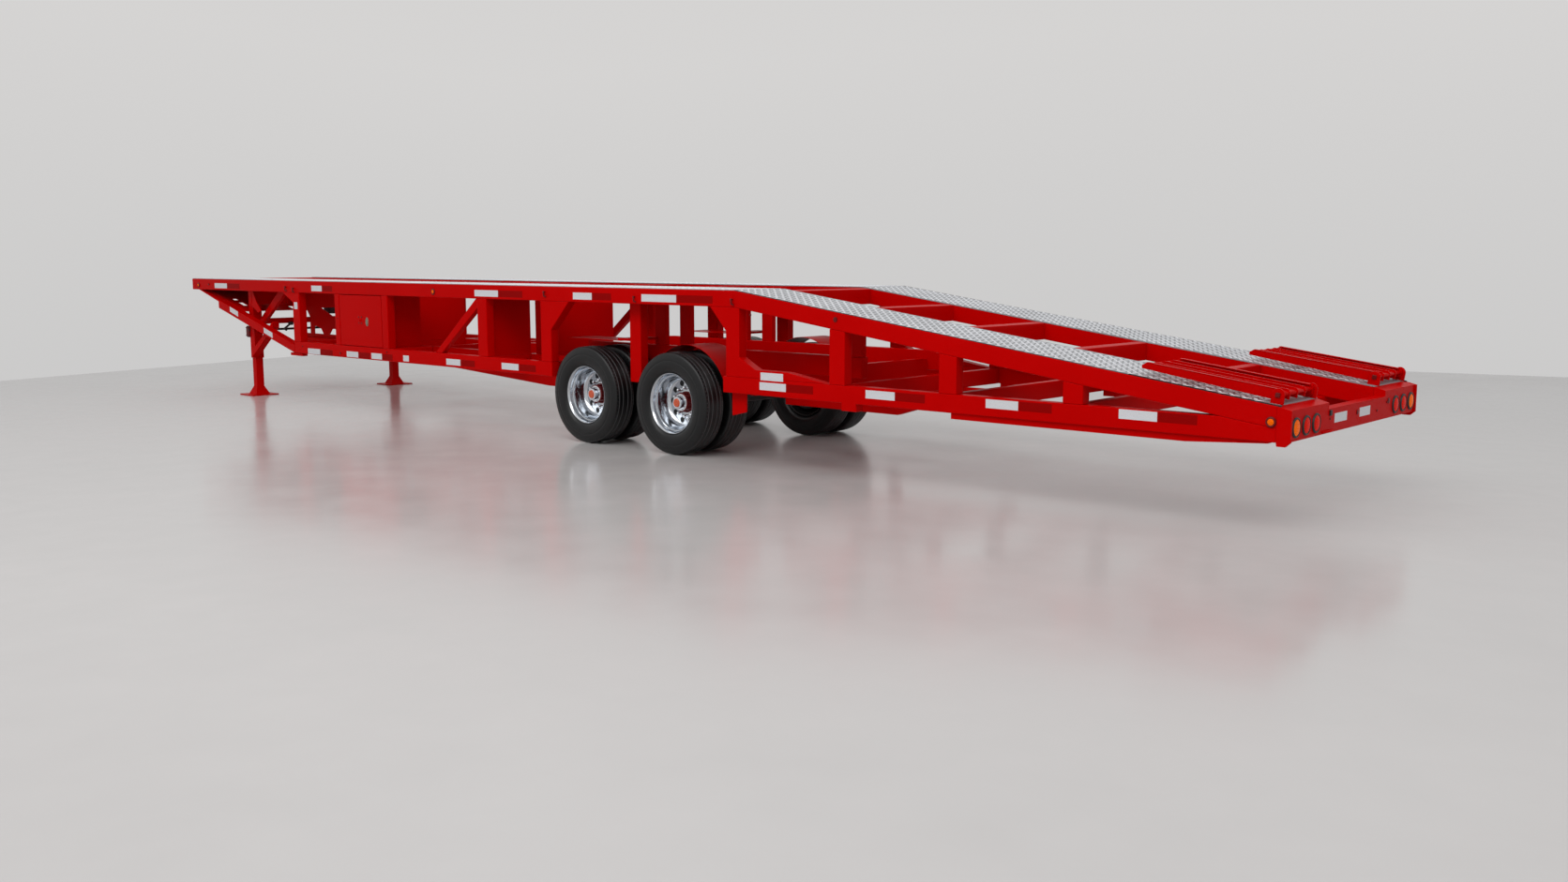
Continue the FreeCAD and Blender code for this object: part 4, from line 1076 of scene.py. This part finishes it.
@dataclass
class Toolbox:
    """Latch, hasp and screws of the toolbox door."""

    latch: tuple[float, float] = (4.685, 1.13)
    hasp: tuple[float, float] = (4.535, 1.146)
    screws: tuple[tuple[float, float], ...] = (
        (4.497, 1.184), (4.503, 1.110), (4.565, 1.184), (4.565, 1.110))

    def on_door(self, face: float, station: float, height: float) -> Matrix:
        """The way from the origin to a place on the door."""
        return spot(station, face, height)

    def build(self) -> None:
        """Dress the door."""
        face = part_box("toolbox_door")[0].y
        dish = turned("latch_dish", [(0.0, 0.004), (0.052, 0.004), (0.052, -0.003),
                                     (0.046, -0.0055), (0.041, -0.003), (0.036, 0.0005),
                                     (0.0, 0.0015)], ORIGIN, 40, 30)
        dish.data.transform(Matrix.Diagonal((0.62, 1.0, 1.05, 1.0)))
        paddle = block("latch_paddle", (-0.018, -0.008, -0.034), (0.010, 0.0, 0.034), 0.004)
        latch = joined("door_latch", [dish, paddle])
        dress(placed(latch, self.on_door(face, *self.latch)), OLIVE, "toolbox_door")
        hasp = block("hasp_plate", (-0.028, -0.004, -0.045), (0.028, 0.001, 0.045), 0.0015)
        staple = block("hasp_staple", (-0.006, -0.022, -0.012), (0.006, 0.0, 0.012), 0.002)
        hasp = joined("door_hasp", [hasp, staple])
        dress(placed(hasp, self.on_door(face, *self.hasp)), RED, "toolbox_door")
        screw = rod("hasp_screw", (0, 0.001, 0), (0, -0.007, 0), 0.007, 12)
        screws = repeated("hasp_screws", screw, [self.on_door(face, *place)
                                                 for place in self.screws])
        dress(screws, STEEL, "toolbox_door")


@dataclass
class SideFittings:
    """Rope hooks, bosses and bolts on the side frames."""

    hooks: tuple[tuple[float, float], ...] = (
        (2.726, 1.516), (2.924, 1.501), (8.189, 1.540), (9.602, 1.515), (10.939, 1.516))
    bolts: tuple[tuple[float, float, float], ...] = (
        (0.522, 1.535, 0.014), (3.998, 1.153, 0.007), (4.03, 0.714, 0.012),
        (3.089, 0.761, 0.008), (11.17, 1.394, 0.010), (12.173, 1.382, 0.022),
        (5.104, 0.777, 0.009))

    def hook(self) -> bpy.types.Object:
        """A short hooked bar, drawn at the origin."""
        stem = rod("hook_stem", (0, 0.001, 0.012), (0, -0.026, 0.012), 0.008, 14)
        drop = rod("hook_drop", (0, -0.022, 0.022), (0.010, -0.022, -0.036), 0.008, 14)
        foot = rod("hook_foot", (0.010, -0.022, -0.030), (0.022, -0.006, -0.038), 0.007, 14)
        return joined("rail_hook", [stem, drop, foot])

    def build(self) -> None:
        """Weld them on both sides."""
        places = [spot(station, -SIDE_FACE, height) for station, height in self.hooks]
        dress(paired(repeated("rail_hooks", self.hook(), places)), DARK_RED, ROOT)
        bolts = []
        for station, height, radius in self.bolts:
            head = rod("frame_bolt", (0, 0.001, 0), (0, -0.008, 0), radius, 20, 0.002)
            bolts.append(placed(head, spot(station, -SIDE_FACE, height)))
        dress(paired(joined("frame_bolts", bolts)), DARK_RED, ROOT)


@dataclass
class LegGear:
    """Gearbox, cross shaft and folded crank of the landing legs."""

    station: float = 1.425
    case: tuple[float, float] = (-1.10, 0.885)
    shaft_height: float = 0.905
    crank: tuple[float, float] = (-0.59, 0.985)

    def build(self) -> None:
        """Hang the gear on the legs."""
        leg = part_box("landing_legs")[0].y + 0.06
        gear = spot(self.station - 0.05, *self.case)
        case = block("gear_case", (-0.095, -0.055, -0.08), (0.0, 0.055, 0.08), 0.012)
        cover = block("gear_cover", (-0.085, -0.064, -0.066), (-0.012, -0.05, 0.066), 0.006)
        dress(placed(joined("leg_gearbox", [case, cover]), gear), DARK_RED, ROOT)
        bolt = rod("case_bolt", (0, -0.062, 0), (0, -0.070, 0), 0.007, 6)
        bolts = repeated("case_bolts", bolt, [move(x, 0, z) for x in (-0.075, -0.022)
                                              for z in (-0.055, 0.055)])
        dress(placed(bolts, gear), STEEL, ROOT)
        shaft = rod("cross_shaft", (0, leg + 0.05, 0), (0, -leg - 0.05, 0), 0.016, 20)
        dress(placed(shaft, spot(self.station - 0.06, 0, self.shaft_height)), STEEL, ROOT)
        hub = rod("crank_hub", (0, -0.03, 0), (0, 0.03, 0), 0.024, 20)
        arm = rod("crank_arm", (0, 0.0, 0), (0, -0.105, -0.075), 0.014, 16)
        grip = rod("crank_grip", (0, -0.10, -0.072), (0.10, -0.125, -0.085), 0.015, 16)
        crank = joined("leg_crank", [hub, arm, grip])
        dress(placed(crank, spot(self.station + 0.055, *self.crank)), STEEL, ROOT)


@dataclass
class Ramps:
    """Flip ramps of edge rails, thin bars and rungs, hinged between rounded ears.

    They are drawn with the hinge pin at the origin and the deck along X.
    """

    length: float = 1.03
    heel: float = 0.02
    low: float = -0.040
    toe_low: float = -0.012
    high: float = 0.038
    edge: float = 0.012
    pin_reach: float = 0.02
    ear: float = 0.014
    crown: float = 0.045
    deck: float = -0.062
    rungs: int = 7

    def rail(self, name: str, y: float, thick: float, high: float) -> bpy.types.Object:
        """A bar along the ramp with a sloped toe and heel.

        Args:
            name: the bar's name.
            y: its lower Y face.
            thick: its width.
            high: its top over the pin.

        Returns:
            The bar.
        """
        toe = -self.length
        outline = [(self.heel, y, self.low), (self.heel, y, high - 0.020), (0, y, high),
                   (toe + 0.035, y, high), (toe, y, self.toe_low + 0.022),
                   (toe, y, self.toe_low)]
        return plate(name, outline, (0, thick, 0), 0.002)

    def body(self, inner: float, outer: float) -> bpy.types.Object:
        """The left ramp between two Y faces."""
        toe = -self.length
        width = inner - outer
        pieces = [self.rail("edge_rail", outer, self.edge, self.high),
                  self.rail("edge_rail", inner - self.edge, self.edge, self.high)]
        for low in (outer, inner - 0.034):
            pieces.append(block("edge_flange", (toe + 0.035, low, self.high - 0.006),
                                (-0.002, low + 0.034, self.high + 0.0005), 0.0015))
        for order in (1, 2, 3):
            middle = outer + width * order / 4
            pieces.append(self.rail("inner_bar", middle - 0.007, 0.014, self.high - 0.006))
        for order in range(self.rungs):
            x = toe + 0.07 + order * (self.length - 0.12) / (self.rungs - 1)
            pieces.append(rod("rung", (x, outer + 0.004, 0), (x, inner - 0.004, 0), 0.008, 12))
        for order in range(4):
            x = toe + (self.length - 0.034) * order / 3
            pieces.append(block("tie", (x, outer + 0.002, self.toe_low),
                                (x + 0.034, inner - 0.002, self.toe_low + 0.028), 0.002))
        pieces.append(rod("hinge_tube", (0, outer, 0), (0, inner, 0), 0.0155, 28))
        pieces.append(rod("hinge_pin", (0, outer - self.pin_reach, 0),
                          (0, inner + self.pin_reach, 0), 0.0135, 28))
        return joined("ramp_left_detailed", pieces)

    def ear_plate(self, low: float) -> bpy.types.Object:
        """A round-topped ear from a Y face."""
        outline = [(-self.crown, low, self.deck), (self.crown, low, self.deck)]
        for order in range(13):
            angle = math.pi * order / 12
            outline.append((self.crown * math.cos(angle), low, self.crown * math.sin(angle)))
        return plate("hinge_ear", outline, (0, self.ear, 0), 0.002)

    def build(self) -> None:
        """Lay both ramps on the deck."""
        joints = {joint["child"]: joint for joint in frame["joints"]}
        low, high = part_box("ramp_left")
        outer, inner = low.y + self.pin_reach, high.y - self.pin_reach
        pin = Vector(joints["ramp_left"]["pos_m"])
        lay = move(pin.x, 0, pin.z) @ Matrix.Rotation(deck_slope(), 4, "Y")
        left = placed(self.body(inner, outer), lay)
        right = copy_of(left, "ramp_right_detailed", Side.RIGHT.mirror)
        dress(right, RED, "ramp_right", ["ramp_right"])
        dress(left, RED, "ramp_left", ["ramp_left"])
        ears = [self.ear_plate(low.y), self.ear_plate(high.y - self.ear)]
        nuts = []
        for start, end in ((low.y, low.y - 0.012), (high.y, high.y + 0.012)):
            nuts.append(block("pin_nut", (-0.016, min(start, end), -0.016),
                              (0.016, max(start, end), 0.016), 0.003))
        dress(paired(placed(joined("rounded_hinge_ears", ears), lay)), RED, ROOT,
              ["ramp_hinge_ears"])
        dress(paired(placed(joined("hinge_nuts", nuts), lay)), DARK_RED, ROOT)


@dataclass
class TreadLozenges:
    """Raised lozenges, crossed at right angles, all over the runway plates; their pale colour is
    a painted highlight.
    """

    pitch: float = 0.088
    half_long: float = 0.038
    half_wide: float = 0.0145
    height: float = 0.003
    margin: float = 0.03
    tail_margin: float = 0.04
    sink: float = 0.0002
    crown: tuple[float, float, float] = (0.8, 0.6, 1)

    def lozenge(self, turn: float) -> bpy.types.Object:
        """One lozenge at the origin, turned by an angle in degrees."""
        outline = [(-self.half_long, 0, 0), (0, -self.half_wide, 0), (self.half_long, 0, 0),
                   (0, self.half_wide, 0)]
        piece = trace("lozenge", outline)
        bpy.ops.mesh.edge_face_add()
        bpy.ops.mesh.extrude_region_move(TRANSFORM_OT_translate={"value": (0, 0, self.height)})
        bpy.ops.transform.resize(value=self.crown)
        bpy.ops.object.mode_set(mode="OBJECT")
        outward(piece)
        return placed(piece, Matrix.Rotation(math.radians(turn), 4, "Z"))

    def field(self, name: str, length: float, width: float) -> bpy.types.Object:
        """Lozenges all over a rectangle that starts at the origin.

        Args:
            name: the new object's name.
            length: the rectangle along X.
            width: the rectangle along Y.

        Returns:
            The lozenges as one object.
        """
        sets = []
        for turn, shift_x, shift_y in ((45, 0.5, 0.0), (-45, 0.0, 0.5)):
            start_x = self.margin + shift_x * self.pitch
            start_y = self.margin + shift_y * self.pitch
            piece = placed(self.lozenge(turn), move(start_x, start_y))
            for reach, start, axis in ((length, start_x, 0), (width, start_y, 1)):
                count = int((reach - self.margin - start) / self.pitch) + 1
                step = [0.0, 0.0, 0.0]
                step[axis] = self.pitch
                finish_modifier(piece, "ARRAY", count=count, use_relative_offset=False,
                                use_constant_offset=True, constant_offset_displace=step)
            sets.append(piece)
        return joined(name, sets)

    def build(self) -> None:
        """Cover both runways."""
        low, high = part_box("runway_plates_flat")
        width = -low.y - PLATE_INNER
        flat = self.field("flat_tread", high.x - low.x, width)
        placed(flat, move(low.x, low.y, high.z - self.sink))
        low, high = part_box("runway_plates_sloped")
        sloped = self.field("sloped_tread", high.x - low.x - self.tail_margin, width)
        placed(sloped, move(low.x, low.y, high.z - self.sink)
               @ Matrix.Rotation(deck_slope(), 4, "Y"))
        for piece in (flat, sloped):
            dress(paired(piece), LOZENGE_HIGHLIGHT, ROOT)


@dataclass
class RunwayEdges:
    """Painted shadows: black bands along the gap between the runway plates and the side rails,
    and a wider raised one beside the ramps.
    """

    seam: float = 0.006
    strip: float = 0.02
    ramp_shadow_start: float = 14.94
    ramp_shadow_end: float = 16.07

    def band(self, name: str, start: float, end: float, width: float, rise: float
             ) -> bpy.types.Object:
        """A thin band on the sloped deck along the plate's outer edge.

        Args:
            name: the band's name.
            start: X of its front end.
            end: X of its rear end.
            width: its width across the trailer.
            rise: its top over the plate.

        Returns:
            The band.
        """
        low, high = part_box("runway_plates_sloped")
        fall = (high.z - low.z) / (high.x - low.x)
        outline = [(x, low.y - self.seam, high.z - (x - low.x) * fall + lift)
                   for x, lift in ((start, -0.002), (end, -0.002), (end, rise), (start, rise))]
        return plate(name, outline, (0, width, 0), 0.0006)

    def build(self) -> None:
        """Lay the bands on both sides."""
        low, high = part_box("runway_plates_sloped")
        # Painted shadow: a black band filling the gap at the plate's outer edge.
        seam = self.band("deck_seam", low.x + 0.01, high.x - 0.02, self.seam + 0.004, 0.0012)
        dress(paired(seam), BLACK, ROOT)
        # Painted shadow: a wider, raised black band where the gap runs past the ramps.
        strip = self.band("rubber_strip", at(self.ramp_shadow_start), at(self.ramp_shadow_end), self.strip,
                          0.006)
        dress(paired(strip), BLACK, ROOT)


@dataclass
class TailFittings:
    """Plugs, a socket and a tab on the tail beam."""

    root: float = TAIL_FACE - 0.001
    plugs: tuple[tuple[float, float, float], ...] = (
        (-0.557, 0.772, 0.008), (-0.013, 0.775, 0.018), (0.408, 0.751, 0.009),
        (0.66, 0.808, 0.022), (0.62, 0.80, 0.008))
    tab: tuple[tuple[float, float], ...] = (
        (-0.02, -0.72), (-0.02, -0.52), (0.018, -0.53), (0.03, -0.56), (0.03, -0.62),
        (0.01, -0.70))
    tab_height: float = 0.694
    tab_thick: float = 0.012

    def build(self) -> None:
        """Fix them to the tail's face."""
        socket = block("tail_socket", (self.root, -0.575, 0.795),
                       (TAIL_FACE + 0.012, -0.539, 0.835), 0.003)
        dress(socket, BLACK, ROOT)
        plugs = [rod("tail_plug", (self.root, y, z), (TAIL_FACE + 0.006, y, z), radius, 20, 0.002)
                 for y, z, radius in self.plugs]
        dress(joined("tail_plugs", plugs), DARK_RED, ROOT)
        outline = [(TAIL_FACE + reach, y, self.tab_height) for reach, y in self.tab]
        dress(plate("tail_tab", outline, (0, 0, -self.tab_thick), 0.003), RED, ROOT)


@dataclass
class Brakes:
    """Brake chambers, slack adjusters and camshafts on both axles."""

    offset: float = 0.36
    behind: float = 0.20
    camshaft_end: float = 0.74

    def build(self) -> None:
        """Hang them behind each axle."""
        wheels = [joint["pos_m"] for joint in frame["joints"]
                  if joint["child"].startswith("wheels_")]
        height = wheels[0][2]
        pieces = []
        for x in sorted({round(place[0], 4) for place in wheels}):
            for side in Side:
                y = self.offset * side.value
                back = x + self.behind
                pieces.append(rod("chamber", (back, y, height + 0.09),
                                  (back + 0.10, y, height + 0.12), 0.078, 32, 0.012))
                pieces.append(rod("chamber", (back + 0.10, y, height + 0.12),
                                  (back + 0.21, y, height + 0.153), 0.07, 32, 0.014))
                pieces.append(rod("chamber_band", (back + 0.094, y, height + 0.118),
                                  (back + 0.108, y, height + 0.122), 0.084, 32, 0.003))
                pieces.append(rod("push_rod", (x + 0.10, y, height + 0.075),
                                  (back, y, height + 0.09), 0.011, 12))
                pieces.append(block("slack_adjuster", (x + 0.075, y - 0.016, height - 0.05),
                                    (x + 0.115, y + 0.016, height + 0.1), 0.01))
                end = self.camshaft_end * side.value
                pieces.append(rod("camshaft", (x + 0.095, y, height - 0.02),
                                  (x + 0.095, end, height - 0.02), 0.018, 16))
                pieces.append(block("chamber_bracket", (x - 0.02, y - 0.03, height + 0.045),
                                    (back + 0.02, y + 0.03, height + 0.06), 0.004))
        dress(joined("brake_gear", pieces), STEEL, ROOT)


@dataclass
class NoseFittings:
    """Leg gussets, and a valve block with air lines under the front deck."""

    gusset_side: float = -1.19
    gusset_thick: float = 0.012
    gusset: tuple[tuple[float, float], ...] = (
        (1.49, 1.452), (1.60, 1.452), (1.68, 1.31), (1.80, 1.19), (1.72, 1.16), (1.56, 1.24),
        (1.49, 1.30))
    line: tuple[tuple[float, float], ...] = (
        (0.05, 1.18), (-0.06, 1.155), (-0.22, 1.20), (-0.34, 1.31), (-0.36, 1.46))
    line_starts: tuple[tuple[float, float], ...] = ((-0.41, 2.10), (-0.35, 2.08))

    def build(self) -> None:
        """Fix them in the nose."""
        outline = [(at(station), self.gusset_side, z) for station, z in self.gusset]
        gusset = plate("leg_gusset", outline, (0, self.gusset_thick, 0), 0.003)
        dress(paired(gusset), RED, ROOT)
        valve = block("valve_block", (at(2.13), -0.44, 1.14), (at(2.29), -0.32, 1.24), 0.012)
        hanger = block("valve_hanger", (at(2.19), -0.40, 1.23), (at(2.22), -0.36, 1.46), 0.004)
        lines = [valve, hanger]
        for y, station in self.line_starts:
            points = [(at(station + shift), y, z) for shift, z in self.line]
            for start, end in zip(points, points[1:]):
                lines.append(rod("air_line", start, end, 0.011, 12, 0))
        dress(joined("air_gear", lines), BLACK, ROOT)


# ---------------------------------------------------------------------------- stage


@dataclass
class Studio:
    """Pale glossy floor, pale walls that meet behind the trailer, soft lamps and the camera."""

    wall: tuple[float, float, float] = (0.665, 0.655, 0.648)
    wall_foot_painted_shade: tuple[float, float, float] = (0.60, 0.595, 0.592)
    floor: tuple[float, float, float] = (0.645, 0.625, 0.615)
    eye: tuple[float, float, float] = (11.5639, -10.2510, 1.9031)
    heading: float = 41.992
    dip: float = 7.697
    lens: float = 31.0395
    corner: tuple[float, float] = (-15.06, 9.54)
    left_end: tuple[float, float] = (-11.682, -2.778)
    right_end: tuple[float, float] = (6.410, 14.382)
    ground: float = -0.0005
    floor_size: float = 240
    wall_height: float = 60
    wall_reach: float = 4
    air: tuple[float, float, float] = (0.43, 0.432, 0.438)
    sensor: float = 36
    far: float = 500

    def build(self) -> None:
        """Make the stage."""
        self.lay_floor()
        self.raise_walls()
        self.light()
        self.look()

    def lay_floor(self) -> None:
        """A wide pale floor with soft reflections."""
        deselect()
        bpy.ops.mesh.primitive_plane_add(size=self.floor_size, location=(0, 0, self.ground))
        floor = bpy.context.object
        floor.name = "studio_floor"
        made = bpy.data.materials.new("pale_polished_floor")
        tree = clear_tree(made)
        place = tree.add("ShaderNodeTexCoord").outputs["Object"]
        slow = tree.add("ShaderNodeTexNoise", Vector=place, Scale=0.35, Detail=4.0)
        fine = tree.add("ShaderNodeTexNoise", Vector=place, Scale=2.2, Detail=5.0)
        tone = tree.sum("ADD", tree.sum("MULTIPLY", slow.outputs[0], 0.6),
                        tree.sum("MULTIPLY", fine.outputs[0], 0.4))
        colour = tree.mix(tree.ramp(tone, 0.35, 0.65), tint(self.floor, 0.95), tint(self.floor))
        rough = tree.ramp(tone, 0.3, 0.7, 0.12, 0.24)
        shader = tree.add("ShaderNodeBsdfPrincipled", Base_Color=colour, Roughness=rough,
                          IOR=1.4)
        tree.show(shader.outputs[0])
        floor.data.materials.append(made)

    def raise_walls(self) -> None:
        """Two walls that show only their pale, glowing front, with painted shade towards their
        foot.
        """
        made = bpy.data.materials.new("pale_wall")
        tree = clear_tree(made)
        rays = tree.add("ShaderNodeLightPath")
        geometry = tree.add("ShaderNodeNewGeometry")
        seen = tree.sum("MAXIMUM", rays.outputs["Is Camera Ray"], rays.outputs["Is Glossy Ray"])
        front = tree.sum("SUBTRACT", 1.0, geometry.outputs["Backfacing"])
        shown = tree.sum("MULTIPLY", seen, front)
        height = tree.add("ShaderNodeSeparateXYZ",
                          Vector=tree.add("ShaderNodeTexCoord").outputs["Object"]).outputs[2]
        # Painted shade: the walls' glow grows darker towards their foot.
        shade = tree.mix(tree.ramp(height, 0.0, 6.0), tint(self.wall_foot_painted_shade), tint(self.wall))
        pale = tree.add("ShaderNodeEmission", Color=shade, Strength=1.0)
        clear = tree.add("ShaderNodeBsdfTransparent")
        mix = tree.add("ShaderNodeMixShader")
        tree.feed(mix.inputs[0], shown)
        tree.feed(mix.inputs[1], clear.outputs[0])
        tree.feed(mix.inputs[2], pale.outputs[0])
        tree.show(mix.outputs[0])
        for name, start, end, before, after in (
                ("wall_left", self.left_end, self.corner, self.wall_reach, 0),
                ("wall_right", self.corner, self.right_end, 0, self.wall_reach)):
            deselect()
            reach = Vector(end) - Vector(start)
            wall = trace(name, [(*(Vector(start) - reach * before), self.ground),
                                (*(Vector(end) + reach * after), self.ground)])
            bpy.ops.mesh.extrude_region_move(
                TRANSFORM_OT_translate={"value": (0, 0, self.wall_height)})
            bpy.ops.object.mode_set(mode="OBJECT")
            normal = wall.data.polygons[0].normal
            if normal.dot(Vector(self.eye) - Vector((*start, 0))) < 0:
                wall.data.flip_normals()
            wall.data.materials.append(made)

    def lamp(self, name: str, place: Point, aim: Point, size: tuple[float, float], level: float
             ) -> None:
        """A soft rectangular lamp.

        Args:
            name: the lamp's name.
            place: its middle.
            aim: the point it faces.
            size: its width and height.
            level: how bright its face looks, where 1 is white.
        """
        data = bpy.data.lights.new(name, "AREA")
        data.shape = "RECTANGLE"
        data.size, data.size_y = size
        data.energy = level * math.pi * size[0] * size[1]
        piece = bpy.data.objects.new(name, data)
        bpy.context.scene.collection.objects.link(piece)
        piece.location = place
        piece.rotation_mode = "QUATERNION"
        piece.rotation_quaternion = (Vector(place) - Vector(aim)).to_track_quat("Z", "Y")
        piece.visible_camera = False

    def light(self) -> None:
        """Even light from all round with soft lamps above and at the camera's side."""
        world = bpy.data.worlds.new("studio_air")
        bpy.context.scene.world = world
        tree = clear_tree(world)
        rays = tree.add("ShaderNodeLightPath")
        seen = tree.sum("MAXIMUM", rays.outputs["Is Camera Ray"], rays.outputs["Is Glossy Ray"])
        seen = tree.sum("MAXIMUM", seen, rays.outputs["Is Transmission Ray"])
        colour = tree.mix(seen, tint(self.air), tint(self.wall))
        background = tree.add("ShaderNodeBackground", Color=colour, Strength=1.0)
        tree.show(background.outputs[0], "ShaderNodeOutputWorld")
        self.lamp("ceiling_lamp", (2, 0, 10), (2, 0, 0), (30, 18), 0.2)
        self.lamp("side_lamp", (6, -12, 13), (2, 0, 0.5), (26, 8), 2.3)

    def look(self) -> None:
        """The camera."""
        data = bpy.data.cameras.new("view")
        data.lens = self.lens
        data.sensor_width = self.sensor
        data.sensor_fit = "HORIZONTAL"
        data.clip_end = self.far
        camera = bpy.data.objects.new("view", data)
        bpy.context.scene.collection.objects.link(camera)
        camera.location = self.eye
        camera.rotation_euler = (math.radians(90 - self.dip), 0, math.radians(self.heading))
        bpy.context.scene.camera = camera


def main() -> None:
    """Build the stage and dress the trailer."""
    bpy.context.scene.view_settings.view_transform = "Standard"
    Studio().build()
    WeldedFrame().build()
    TwinWheel().build()
    Tapes().build()
    Lamps().build()
    Toolbox().build()
    SideFittings().build()
    LegGear().build()
    Ramps().build()
    RunwayEdges().build()
    TreadLozenges().build()
    TailFittings().build()
    Brakes().build()
    NoseFittings().build()


if __name__ == "__main__":
    main()
